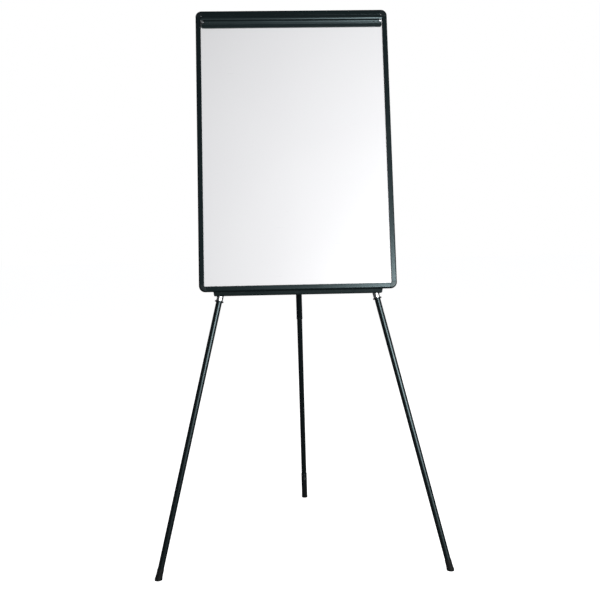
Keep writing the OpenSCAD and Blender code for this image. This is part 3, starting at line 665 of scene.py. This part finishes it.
def fasteners():
    """Screws and rivets on the back: each group stands for its CAD node."""
    edge = (RAIL_FACE - GROOVE_W) / 2
    at_end = CORNER_LEN + CORNER_SCREW_IN
    corner_spots = []
    for sx in (LEFT, RIGHT):
        for low, high in ((at_end, edge), (BOARD_H - at_end, BOARD_H - edge)):
            corner_spots.append(spot(sx * (BOARD_W / 2 - edge), RAIL_DEPTH, low, 20 * sx + low * 0.1))
            corner_spots.append(spot(sx * (BOARD_W / 2 - at_end), RAIL_DEPTH, high, 35 * sx + high * 0.1))
    crown_x, crown_y = CROWN_W / 2 + CROWN_SCREW_OUT, PANEL_BACK + CROWN_SHEET
    crown_spots = [
        spot(sx * crown_x, crown_y, PIVOT_H + dh, 15 * sx + dh)
        for sx in (LEFT, RIGHT) for dh in CROWN_SCREW_ROWS
    ]
    guide_end = GUIDE_W / 2 - GUIDE_SCREW_IN
    guide_spots = [
        spot(x, STRAP_D + GUIDE_SHEET, GUIDE_SCREW_UP, x * 0.3)
        for x in (-guide_end, -GUIDE_SCREW_MID, GUIDE_SCREW_MID, guide_end)
    ]
    rivet_spots = [
        spot(sx * RIVET_OUT, -REAR_PIVOT_BACK, dh, 0) for sx in (LEFT, RIGHT) for dh in RIVET_ROWS
    ]
    rows = (
        ("corner_screw_set", corner_spots, CORNER_SCREW, "corner_screws"),
        ("crown_screw_set", crown_spots, CROWN_SCREW, "crown_screws"),
        ("guide_screw_set", guide_spots, GUIDE_SCREW, "guide_screws"),
    )
    for name, spots, sizes, node in rows:
        piece(name, group(spots, lambda: screw(*sizes)), BOARD, "board", "screw_zinc", node)
    rivets = group(rivet_spots, lambda: lathe(dome_profile(*RIVET), 40))
    piece("clevis_rivet_set", rivets, REAR_PIVOT, "board", "screw_zinc", "clevis_rivets")
    for side, name in ((LEFT, "left"), (RIGHT, "right")):
        bolt = merged((screw(*PIVOT_BOLT), spot(0, CROWN_BACK + CROWN_SHEET, 0, 25 * side)))
        place = BOARD @ at(side * PIVOT_X, 0, PIVOT_H)
        piece(name + "_pivot_bolt", bolt, place, "board", "screw_zinc", name + "_pivot_pin")


def rear_pivot():
    """Headed pin through the rear clevis, held by a pressed-on washer."""
    reach, washer_end = REAR_EAR_OUT + REAR_HEAD_T, -REAR_EAR_OUT - WASHER_T
    pin = lathe(outline([
        (0, -reach, 0), (REAR_PIN_R, -reach, 0.8), (REAR_PIN_R, REAR_EAR_OUT, 0),
        (REAR_HEAD_R, REAR_EAR_OUT, 0.4), (REAR_HEAD_R, reach, 1), (0, reach, 0),
    ]), 48)
    washer = lathe(outline([
        (REAR_PIN_R, washer_end, 0), (WASHER_R, washer_end, 0.3), (WASHER_R, -REAR_EAR_OUT, 0.3),
        (REAR_PIN_R, -REAR_EAR_OUT, 0),
    ]), 48)
    both = merged((pin, ALONG_X), (washer, ALONG_X))
    piece("rear_pivot_bolt", both, REAR_PIVOT, "board", "screw_zinc", "rear_pivot_pin")


# ---- Board ----


def rail_section():
    """Across a rail: X in from its outer edge, Y back from its face, with the panel's groove."""
    inner = RAIL_FACE - GROOVE_W
    return outline([
        (0, 0, 6), (RAIL_FACE, 0, 1), (RAIL_FACE, SURFACE_D, 0.3), (inner, SURFACE_D, 0),
        (inner, PANEL_BACK, 0), (RAIL_FACE, PANEL_BACK, 0.3), (RAIL_FACE, RAIL_DEPTH, 0.5),
        (0, RAIL_DEPTH, 1),
    ])


def rails():
    upright, level = BOARD_H - 2 * CORNER_LEN, BOARD_W - 2 * CORNER_LEN
    half = BOARD_W / 2
    rows = (
        ("left", (-half, 0, CORNER_LEN), ((1, 0, 0), (0, 1, 0), (0, 0, 1)), upright),
        ("right", (half, 0, BOARD_H - CORNER_LEN), ((-1, 0, 0), (0, 1, 0), (0, 0, -1)), upright),
        ("bottom", (level / 2, 0, 0), ((0, 0, 1), (0, 1, 0), (-1, 0, 0)), level),
        ("top", (-level / 2, 0, BOARD_H), ((0, 0, -1), (0, 1, 0), (1, 0, 0)), level),
    )
    for name, start, axes, length in rows:
        place = BOARD @ at(*start) @ turned(*axes)
        bar = extrude(rail_section(), length)
        piece(name + "_rail_extrusion", bar, place, "board", "rail", "rail_" + name)


def corner_mesh(sx, sz):
    """One corner piece: the rail's section carried down an arm, round the corner and along an arm."""
    centre = Vector((BOARD_W / 2 - CORNER_R, 0, BOARD_H / 2 - CORNER_R))
    depth = Vector((0, 1, 0))
    path = [(Vector((BOARD_W / 2, 0, centre.z - CORNER_ARM)), Vector((-1, 0, 0)), depth)]
    steps = 16
    for k in range(steps + 1):
        a = math.pi / 2 * k / steps
        out = Vector((math.cos(a), 0, math.sin(a)))
        path.append((centre + out * CORNER_R, -out, depth))
    path.append((Vector((centre.x - CORNER_ARM, 0, BOARD_H / 2)), Vector((0, 0, -1)), depth))
    bm = sweep(rail_section(), path)
    edges = [e for f in bm.faces if len(f.verts) > 4 for e in f.edges]
    bmesh.ops.bevel(bm, geom=edges, offset=END_BEVEL, segments=2, profile=0.5, affect="EDGES")
    return moved(bm, Matrix.Translation((0, 0, BOARD_H / 2)) @ Matrix.Diagonal((sx, 1, sz, 1)))


def corners():
    for sx, side in ((LEFT, "left"), (RIGHT, "right")):
        for sz, level in ((-1, "bottom"), (1, "top")):
            name = f"corner_{level}_{side}"
            piece(name + "_moulding", corner_mesh(sx, sz), BOARD, "board", "corner_plastic", name)


def rounded_plate(width, height, radius):
    points = []
    for sx, sy, start in ((1, 1, 0), (-1, 1, 90), (-1, -1, 180), (1, -1, 270)):
        centre = sx * (width / 2 - radius), sy * (height / 2 - radius)
        points += arc(*centre, radius, start, start + 90, 10)
    return points


def writing_surface():
    """The enamelled sheet in front of the panel's core, inside the rails' grooves."""
    sheet = extrude(rounded_plate(PANEL_W, PANEL_H, PANEL_CORNER), SKIN, SKIN_BEVEL)
    place = BOARD @ at(0, SURFACE_D + SKIN, BOARD_H / 2) @ FACING
    piece("enamelled_sheet", sheet, place, "board", "whiteboard", "writing_surface")


# ---- Pad clamp ----


def meet(lean_a, from_a, lean_b, from_b):
    """Where two of the clamp's walls meet: each faces out at an angle below level, so far from the axis."""
    a, b = math.radians(lean_a), math.radians(lean_b)
    return (
        (from_b * math.sin(a) - from_a * math.sin(b)) / math.sin(b - a),
        (from_a * math.cos(b) - from_b * math.cos(a)) / math.sin(b - a),
    )


def clamp_section():
    """Across the clamp, from its hinge axis: X into the board, Y up."""
    inner, low, face = BARREL_R - CLAMP_WALL, CLAMP_DROP - CLAMP_WALL, FACE_FROM - CLAMP_WALL
    knee = meet(FACE_LEAN, FACE_FROM, 90, KNEE_DROP)
    lean = math.radians(NOSE_LEAN)
    nose = -knee[0] * math.cos(lean) - knee[1] * math.sin(lean)
    nose_inner = nose - CLAMP_WALL
    outer_end = 180 + FACE_LEAN + math.degrees(math.acos(FACE_FROM / BARREL_R))
    inner_end = 180 + FACE_LEAN + math.degrees(math.acos(face / inner))
    points = arc(0, 0, BARREL_R, 0, outer_end, 34)
    points += outline([
        (points[-1].x, points[-1].y, 0), (*knee, 0.8), (*meet(NOSE_LEAN, nose, 90, CLAMP_DROP), 0.6),
        (BARREL_R, -CLAMP_DROP, 0.4), (BARREL_R, -CLAMP_DROP + LIP_FLANGE, 0.4),
        (inner, -CLAMP_DROP + LIP_FLANGE, 0.4), (inner, -low, 0),
        (*meet(NOSE_LEAN, nose_inner, 90, low), 0), (*meet(FACE_LEAN, face, NOSE_LEAN, nose_inner), 0),
    ])[1:]
    points += arc(0, 0, inner, inner_end, 0, 24)
    return points


def hinge_rail():
    """Fixed rail above the clamp: its front swells, then runs in flat. Its ends step round the corners."""
    top, shoulder = BOARD_H - RAIL_FACE - RAIL_SEAM, BOARD_H - CORNER_R - 2 * RAIL_SEAM
    x, y = HINGE_RAIL_R - HINGE_RAIL_OUT, HINGE_RAIL_LOW + HINGE_RAIL_CREST
    above = math.degrees(math.asin((top - y) / HINGE_RAIL_R))
    front = arc(x, y, HINGE_RAIL_R, 180 - above, 180 + HINGE_RAIL_TURN, 14)
    low_x = front[-1].x + (front[-1].y - HINGE_RAIL_LOW) * math.tan(math.radians(HINGE_RAIL_RUN_IN))
    section = outline(
        [(SURFACE_D, top, 0)] + [(p.x, p.y, 0) for p in front]
        + [(low_x, HINGE_RAIL_LOW, 0.5), (SURFACE_D, HINGE_RAIL_LOW, 0)]
    )
    half = BOARD_W / 2 - RAIL_FACE - 2 * RAIL_SEAM
    bar = moved(extrude(section, 2 * half, 0), Matrix.Translation((-half, 0, 0)) @ ALONG_X)
    step, reach = BOARD_W / 2 - CORNER_LEN, 9
    low, high = shoulder, top + reach
    block = [Vector(p) for p in ((-reach, low), (reach, low), (reach, high), (-reach, high))]
    for start in (step, -step - CORNER_LEN):
        cutter = moved(extrude(block, CORNER_LEN, 0), Matrix.Translation((start, 0, 0)) @ ALONG_X)
        bar = subtract(bar, cutter)
    bar.transform(ALONG_X.inverted())
    piece("hinge_rail_bar", bar, BOARD @ ALONG_X, "board", "clamp_black", "hinge_rail")


def notch_cutter(side):
    """What is missing at one end: the barrel above the lug, and the lip's rounded lower corner."""
    past, deep = 5, 4 * BARREL_R
    start, half, high, low = BARREL_W / 2, CLAMP_W / 2, BARREL_R + past, -CLAMP_DROP - past
    inner = half - LIP_CORNER_R
    face = [Vector(p) for p in ((start, -NOTCH_DROP), (start, high), (half + past, high))]
    face += [Vector(p) for p in ((half + past, low), (inner, low))]
    face += arc(inner, -CLAMP_DROP + LIP_CORNER_R, LIP_CORNER_R, 270, 360, 10)
    face += [Vector((half, -NOTCH_DROP))]
    mirror = Matrix.Diagonal((side, 1, 1, 1))
    return moved(extrude(face, deep, 0), mirror @ Matrix.Translation((0, deep / 2, 0)) @ FACING)


def clamp_screw_spot(side):
    """Where an end screw's head seats, square to the clamp's face, with its tip inwards."""
    return (
        Matrix.Rotation(math.radians(FACE_LEAN), 4, "X")
        @ Matrix.Translation((side * CLAMP_SCREW_X, CLAMP_SEAT - BARREL_R, -CLAMP_SCREW_DROP))
        @ ALONG_Y @ Matrix.Rotation(math.pi, 4, "X")
    )


def clamp():
    bar = moved(extrude(clamp_section(), CLAMP_W, 0), Matrix.Translation((-CLAMP_W / 2, 0, 0)) @ ALONG_X)
    seat_deep = 3
    for side in (LEFT, RIGHT):
        bar = subtract(bar, notch_cutter(side))
        seat = lathe([(0, 0), (CLAMP_SEAT_R, 0), (CLAMP_SEAT_R, seat_deep), (0, seat_deep)], 40)
        bar = subtract(bar, moved(seat, clamp_screw_spot(side)))
    bar.transform(ALONG_X.inverted())
    piece("clamp_extrusion", bar, CLAMP @ ALONG_X, "clamp", "clamp_black", "clamp_bar")

    for side, name in ((LEFT, "left"), (RIGHT, "right")):
        end, lug = "clamp_end_" + name, "clamp_lug_" + name
        cad_piece(end + "_plug", end, CLAMP, "clamp", "black_plastic", 0.35)
        cad_piece(lug + "_bracket", lug, CLAMP, "board", "lug_zinc", 0.5, 3)
        hinge_pin(side, name)
        spring(side, name)

    screws = group([clamp_screw_spot(side) for side in (LEFT, RIGHT)], lambda: screw(*CLAMP_SCREW))
    piece("clamp_screw_set", screws, CLAMP, "clamp", "black_screw", "clamp_screws")
    grip()


def grip():
    """Rubber strip on the lip's flange, with fine ribs along it where it bears on the pad."""
    low, high = -CLAMP_DROP, -CLAMP_DROP + LIP_FLANGE
    hollow, crest = BARREL_R + GRIP_T * 0.5, BARREL_R + GRIP_T
    edge = 0.3
    pitch = (LIP_FLANGE - 2 * edge) / GRIP_RIBS
    points = [Vector((BARREL_R, low)), Vector((hollow, low))]
    for i in range(GRIP_RIBS):
        y = low + edge + pitch * i
        rib = ((hollow, y), (crest, y + pitch * 0.35), (crest, y + pitch * 0.65), (hollow, y + pitch * 0.95))
        points += [Vector(p) for p in rib]
    points += [Vector((hollow, high)), Vector((BARREL_R, high))]
    length = CLAMP_W - GRIP_SHORT
    strip = extrude(points, length, 0)
    place = CLAMP @ at(-length / 2) @ ALONG_X
    piece("grip_strip_rubber", strip, place, "clamp", "rubber_grip", "grip_strip")


def hinge_pin(side, name):
    outer = BARREL_W / 2 + LUG_GAP + LUG_W + CLAMP_PIN_PROUD
    inner = BARREL_W / 2 - CLAMP_PLUG_LEN - CLAMP_PIN_IN
    pin = lathe(outline([
        (0, inner, 0), (CLAMP_PIN_R, inner, 0.4), (CLAMP_PIN_R, outer, 0.5), (0, outer, 0),
    ]), 32)
    place = CLAMP @ turned((0, side, 0), (0, 0, 1), (side, 0, 0))
    piece(f"clamp_pin_{name}_steel", pin, place, "board", "screw_zinc", "clamp_pin_" + name)


def spring(side, name):
    """A wound torsion spring: a true helix with an arm at each end."""
    first = -BARREL_W / 2 + CLAMP_PLUG_LEN + 1
    pitch = 2 * SPRING_WIRE + SPRING_GAP
    per_turn = 24
    last_turn = SPRING_TURNS - 1
    line = [Vector((first, SPRING_R, -SPRING_ARM)), Vector((first, SPRING_R, -1))]
    for k in range(int((last_turn + 0.5) * per_turn) + 1):
        a = math.tau * k / per_turn
        line.append(Vector((first + pitch * k / per_turn, SPRING_R * math.cos(a), SPRING_R * math.sin(a))))
    end = line[-1]
    line += [Vector((end.x, -SPRING_R, -2)), Vector((end.x, -SPRING_R, -SPRING_ARM))]
    coil = moved(wire(line, SPRING_WIRE * 0.96, 10), Matrix.Diagonal((-side, 1, 1, 1)))
    piece(f"clamp_spring_{name}_coil", coil, CLAMP, "board", "spring_steel", "clamp_spring_" + name)


def wire(line, radius, sides):
    """A round wire along a line of points, with closed ends."""
    section = arc(0, 0, radius, 0, 360, sides)[:-1]
    path = []
    side_way = Vector((0, 0, 1)).cross(line[1] - line[0])
    if side_way.length < TINY:
        side_way = Vector((1, 0, 0))
    for i, p in enumerate(line):
        ahead = (line[min(i + 1, len(line) - 1)] - line[max(i - 1, 0)]).normalized()
        side_way = (side_way - ahead * side_way.dot(ahead)).normalized()
        path.append((p, side_way, ahead.cross(side_way)))
    return sweep(section, path)


# ---- Crown and guide bar ----


def crown():
    rows = (
        ("crown_housing", "crown_pressing", 0.9, 3), ("crown_plate", "crown_backing_plate", 0.4, 2),
        ("rear_clevis", "rear_clevis_bracket", 0.5, 3),
    )
    for node, name, width, segments in rows:
        cad_piece(name, node, BOARD, "board", "black_steel", width, segments)


def guide_outline(low, cut_size):
    """One of the bar's plates from in front: each lower corner is cut off in two slopes."""
    half = GUIDE_W / 2
    near = [(half, GUIDE_TOP, 1), (-half, GUIDE_TOP, 1), (-half, low + 2.2 * cut_size, 1)]
    near += [(-half + cut_size * 0.4, low + cut_size, 2), (-half + cut_size * 1.3, low, 1.5)]
    far = [(-x, y, r) for x, y, r in near[:1:-1]]
    return outline(near + far)


def guide_bar():
    front = extrude(guide_outline(-GUIDE_DROP, GUIDE_CUT), GUIDE_SHEET)
    front_at = Matrix.Translation((0, RAIL_DEPTH + GUIDE_SHEET, 0)) @ FACING
    half = GUIDE_W / 2 - 1.4 * GUIDE_CUT
    bead = lathe(outline([(0, -half, 0), (BEAD_R, -half, 1.2), (BEAD_R, half, 1.2), (0, half, 0)]), 32)
    bead_at = Matrix.Translation((0, RAIL_DEPTH + GUIDE_SHEET - BEAD_R, -GUIDE_DROP + BEAD_R)) @ ALONG_X
    bar = merged((front, front_at), (bead, bead_at))
    piece("guide_bar_front", bar, BOARD, "board", "black_steel", "guide_front")

    strap = extrude(guide_outline(STRAP_BOTTOM, STRAP_CUT), GUIDE_SHEET)
    place = BOARD @ at(0, STRAP_D + GUIDE_SHEET, 0) @ FACING
    piece("guide_bar_strap", strap, place, "board", "black_steel", "guide_strap")

    for name in ("guide_end_left", "guide_end_right", "guide_spacer"):
        cad_piece(name + "_block", name, BOARD, "board", "black_plastic", 0.6, 3)


# ---- Legs ----


def tube(outer, wall, low, high):
    inner = outer - wall
    rim = wall * 0.3
    return lathe(outline([(inner, low, rim), (outer, low, rim), (outer, high, rim), (inner, high, rim)]), 96)


def collar(length, rim_r, notches):
    """Bush in the tube's end with a flange below, whose rim may be finely notched for grip."""
    bore, sleeve = LOWER_R + BUSH_GAP, UPPER_R - UPPER_WALL - BUSH_FIT
    low, high = -length - FLANGE_T, -length + BUSH_LEN
    bm = lathe(outline([
        (bore, low, 0.3), (rim_r, low, 0.9), (rim_r, -length, 0.9), (sleeve, -length, 0),
        (sleeve, high, 0.1), (bore, high, 0.1),
    ]), 120)
    rim_starts = rim_r - 0.7
    if notches:
        for v in bm.verts:
            radius = math.hypot(v.co.x, v.co.y)
            if radius > rim_starts:
                wave = 0.5 + 0.5 * math.cos(notches * math.atan2(v.co.y, v.co.x))
                factor = 1 - NOTCH_DEPTH * wave / radius
                v.co.x *= factor
                v.co.y *= factor
    return bm


def outer_tube(length):
    """A leg's upper tube, with the threaded boss for its lock knob's screw."""
    pipe = tube(UPPER_R, UPPER_WALL, -length, -TUBE_START)
    low = UPPER_R - BOSS_SINK
    boss = lathe(outline([
        (KNOB_HOLE_R, low, 0), (KNOB_BOSS_R, low, 0), (KNOB_BOSS_R, KNOB_BOSS_Y, 0.5),
        (KNOB_HOLE_R, KNOB_BOSS_Y, 0.3),
    ]), 40)
    boss_at = Matrix.Translation((0, 0, -length + KNOB_UP)) @ ALONG_Y
    return merged((pipe, Matrix.Identity(4)), (boss, boss_at))


def groove(radius, z, depth, slope, rim):
    """Outline of a shallow ring cut in a round part, from z up, with its rims rounded."""
    floor_w, floor_r = 0.8, radius - depth
    return [
        (radius, z, rim), (floor_r, z + slope, 0.3), (floor_r, z + slope + floor_w, 0.3),
        (radius, z + 2 * slope + floor_w, rim),
    ]


def foot_profile(length):
    """Rubber ferrule: neck with shallow rings, then a slightly flared sole."""
    neck, low = LOWER_R + 1, -length - BELOW_FLOOR
    top, tube_end = -length + FOOT_LEN, -length + FOOT_END
    corners = [(0, low, 0), (FOOT_RIM - 1, low, 0), (FOOT_RIM, -length + 3, 1)]
    corners += [(FOOT_RIM - 0.2, -length + 7, 1.5), (neck + 0.3, -length + 13, 3)]
    for i in range(FOOT_RINGS):
        corners += groove(neck + 0.2, -length + FOOT_RING_UP + i * FOOT_RING_PITCH, 0.6, 0.8, 0.3)
    corners += [(neck, top, 0.9), (LOWER_R, top, 0), (LOWER_R, tube_end, 0), (0, tube_end, 0)]
    return outline(corners)


def on_floor(bm, name):
    """Cuts a leg's sole flat where it stands on the floor."""
    to_leg = LEGS[name].inverted()
    point = to_leg @ Vector((0, 0, 0))
    normal = to_leg.to_3x3() @ Vector((0, 0, -1))
    cut(bm, point / MM, normal)
    return bm


def front_leg(name):
    place, length = LEGS[name], floor_distance(name)
    upper, lower = name + "_upper_leg", name + "_lower_leg"
    piece(name + "_chrome_tube", outer_tube(FRONT_UPPER), place, upper, "chrome_tube", name + "_upper_tube")
    flange = collar(FRONT_UPPER, FLANGE_R, FLANGE_NOTCHES)
    piece(name + "_collar_flange", flange, place, upper, "collar_plastic", name + "_collar")
    low_tube = tube(LOWER_R, LOWER_WALL, -length + FOOT_END, -FRONT_UPPER + LOWER_START)
    piece(name + "_black_tube", low_tube, place, lower, "black_tube", name + "_lower_tube")
    sole = on_floor(lathe(foot_profile(length), 72), name)
    piece(name + "_foot_ferrule", sole, place, lower, "foot_rubber", name + "_foot")


def rear_sleeve(low, high):
    """Long sleeve over the rear tube's end, with shallow rings near its top."""
    corners = [(LOWER_R, low, 0), (SLEEVE_R, low, 0.5)]
    for i in reversed(range(SLEEVE_RINGS)):
        corners += groove(SLEEVE_R, high - SLEEVE_RING_DOWN - i * SLEEVE_RING_PITCH, 0.5, 0.7, 0.2)
    corners += [(SLEEVE_R, high - 1.5, 1), (SLEEVE_R - 1.2, high, 0.4), (LOWER_R, high, 0)]
    return lathe(outline(corners), 72)


def rear_tip(length):
    """Rubber tip below the sleeve, plugged into the tube."""
    inner, rim, sole = LOWER_R - LOWER_WALL, SLEEVE_R + 0.4, -length - BELOW_FLOOR
    low = -length + TIP_LEN
    return lathe(outline([
        (0, sole, 0), (rim - 1, sole, 0), (rim, -length + 1, 1), (rim, low - 0.1, 0.5),
        (inner, low - 0.1, 0), (inner, low + TIP_PLUG, 1), (0, low + TIP_PLUG, 0),
    ]), 72)


def rear_leg():
    place, length = LEGS["rear"], floor_distance("rear")
    upper, lower, low = "rear_upper_leg", "rear_lower_leg", -length + TIP_LEN
    piece("rear_outer_tube", outer_tube(REAR_UPPER), place, upper, "black_tube", "rear_upper_tube")
    ring = collar(REAR_UPPER, REAR_FLANGE_R, 0)
    piece("rear_collar_ring", ring, place, upper, "collar_plastic", "rear_collar")
    low_tube = tube(LOWER_R, LOWER_WALL, low, -REAR_UPPER + LOWER_START)
    piece("rear_inner_tube", low_tube, place, lower, "black_tube", "rear_lower_tube")
    sleeve = rear_sleeve(low, low + SLEEVE_LEN)
    piece("rear_sleeve", sleeve, place, lower, "sleeve_plastic", "rear_foot_sleeve")
    tip = on_floor(rear_tip(length), "rear")
    piece("rear_rubber_tip", tip, place, lower, "foot_rubber", "rear_foot")


def leg_fittings():
    for name, place in LEGS.items():
        plug, knob = name + "_top_plug", name + "_lock_knob"
        cad_piece(name + "_eye_plug", plug, place, name + "_upper_leg", "plug_plastic", 0.6, 3)
        cad_piece(name + "_thumb_knob", knob, place, name + "_knob", "collar_plastic", 0.45, 3)


def hidden_parts():
    """The panel behind its writing surface, and the guide plugs inside the tubes."""
    cad_piece("panel_core_board", "panel_core", BOARD, "board", "fibre_core", 0.2)
    cad_piece("panel_back_sheet", "backing_sheet", BOARD, "board", "backing", 0.1)
    for name, place in LEGS.items():
        plug = name + "_guide_plug"
        cad_piece(name + "_nylon_guide", plug, place, name + "_lower_leg", "guide_nylon", 0.5)


# ---- Camera, floor and light ----

CAMERA_AT, CAMERA_LENS, CAMERA_SENSOR = (-0.1103, -3.303, 1.185), 51.774, 36
CAMERA_YAW, CAMERA_PITCH, CAMERA_ROLL = [math.radians(a) for a in (2.171, -4.729, -1.058)]


def camera():
    """Stands about three metres off, at chest height, looking slightly down and slightly rolled."""
    data = bpy.data.cameras.new("camera")
    data.sensor_width = CAMERA_SENSOR
    data.lens = CAMERA_LENS
    obj = add_object("camera", data)
    flat = math.cos(CAMERA_PITCH)
    forward = Vector((math.sin(CAMERA_YAW) * flat, math.cos(CAMERA_YAW) * flat, math.sin(CAMERA_PITCH)))
    level = Vector((math.cos(CAMERA_YAW), -math.sin(CAMERA_YAW), 0))
    right = math.cos(CAMERA_ROLL) * level + math.sin(CAMERA_ROLL) * level.cross(forward)
    up = right.cross(forward)
    obj.matrix_world = Matrix.Translation(CAMERA_AT) @ turned(right, up, -forward)
    bpy.context.scene.camera = obj


def area_light(name, position, target, size, power):
    data = bpy.data.lights.new(name, "AREA")
    data.shape = "RECTANGLE"
    data.size, data.size_y = size
    data.energy = power
    obj = add_object(name, data)
    away = (Vector(position) - Vector(target)).normalized()
    obj.matrix_world = Matrix.Translation(position) @ away.to_track_quat("Z", "Y").to_matrix().to_4x4()


def lights():
    """Two in front, stronger on the board's right half, and two behind for its back and the legs."""
    area_light("key", (1.15, -3.1, 1.5), (0.1, -0.2, 1.3), (0.9, 0.9), 67)
    area_light("side_key", (1.6, -2.4, 1.2), (0.2, -0.2, 1.2), (0.8, 1.2), 33)
    area_light("back_right", (2.6, 3.4, 2.2), (0, 0, 1.0), (2, 2), 40)
    area_light("back_left", (-2.8, 3.2, 2.4), (0, 0, 1.0), (2, 2), 30)


def background(nodes, colour, strength):
    node = nodes.new("ShaderNodeBackground")
    node.inputs["Color"].default_value = (*colour, 1)
    node.inputs["Strength"].default_value = strength
    return node.outputs["Background"]


def surroundings():
    """White where the camera sees it, but a low light on the object and dimmer still in its reflections."""
    world = bpy.data.worlds.new("studio")
    bpy.context.scene.world = world
    world.use_nodes = True
    world.cycles.sampling_method = "NONE"
    nodes, link = world.node_tree.nodes, world.node_tree.links.new
    shown = nodes["Background"]
    shown.inputs["Color"].default_value = (1, 1, 1, 1)
    shown.inputs["Strength"].default_value = 1.0
    soft, dim = background(nodes, (0.95, 0.96, 1), 0.125), background(nodes, (0.9, 0.95, 1), 0.06)
    ray = nodes.new("ShaderNodeLightPath")
    lighting, final = nodes.new("ShaderNodeMixShader"), nodes.new("ShaderNodeMixShader")
    link(ray.outputs["Is Glossy Ray"], lighting.inputs["Fac"])
    link(soft, lighting.inputs[1])
    link(dim, lighting.inputs[2])
    link(ray.outputs["Is Camera Ray"], final.inputs["Fac"])
    link(lighting.outputs["Shader"], final.inputs[1])
    link(shown.outputs["Background"], final.inputs[2])
    link(final.outputs["Shader"], nodes["World Output"].inputs["Surface"])
    # Plain tones keep the white background white
    bpy.context.scene.view_settings.view_transform = "Standard"


def floor():
    """A pale floor, which glows a little so that it meets the white background without a line."""
    bpy.ops.mesh.primitive_plane_add(size=60)
    obj = bpy.context.active_object
    obj.name = "studio_floor"
    material = bpy.data.materials.new("pale_floor")
    material.use_nodes = True
    shader = material.node_tree.nodes["Principled BSDF"]
    shader.inputs["Base Color"].default_value = (0.85, 0.85, 0.85, 1)
    shader.inputs["Roughness"].default_value = 0.8
    shader.inputs["Emission Color"].default_value = (1, 1, 1, 1)
    shader.inputs["Emission Strength"].default_value = 0.9
    obj.data.materials.append(material)
    # Its glow would light the object from below, so reflections and bounced light leave it out
    obj.visible_glossy = False
    obj.visible_diffuse = False


camera()
rails()
corners()
writing_surface()
hinge_rail()
clamp()
crown()
fasteners()
rear_pivot()
guide_bar()
front_leg("left")
front_leg("right")
rear_leg()
leg_fittings()
hidden_parts()
floor()
lights()
surroundings()
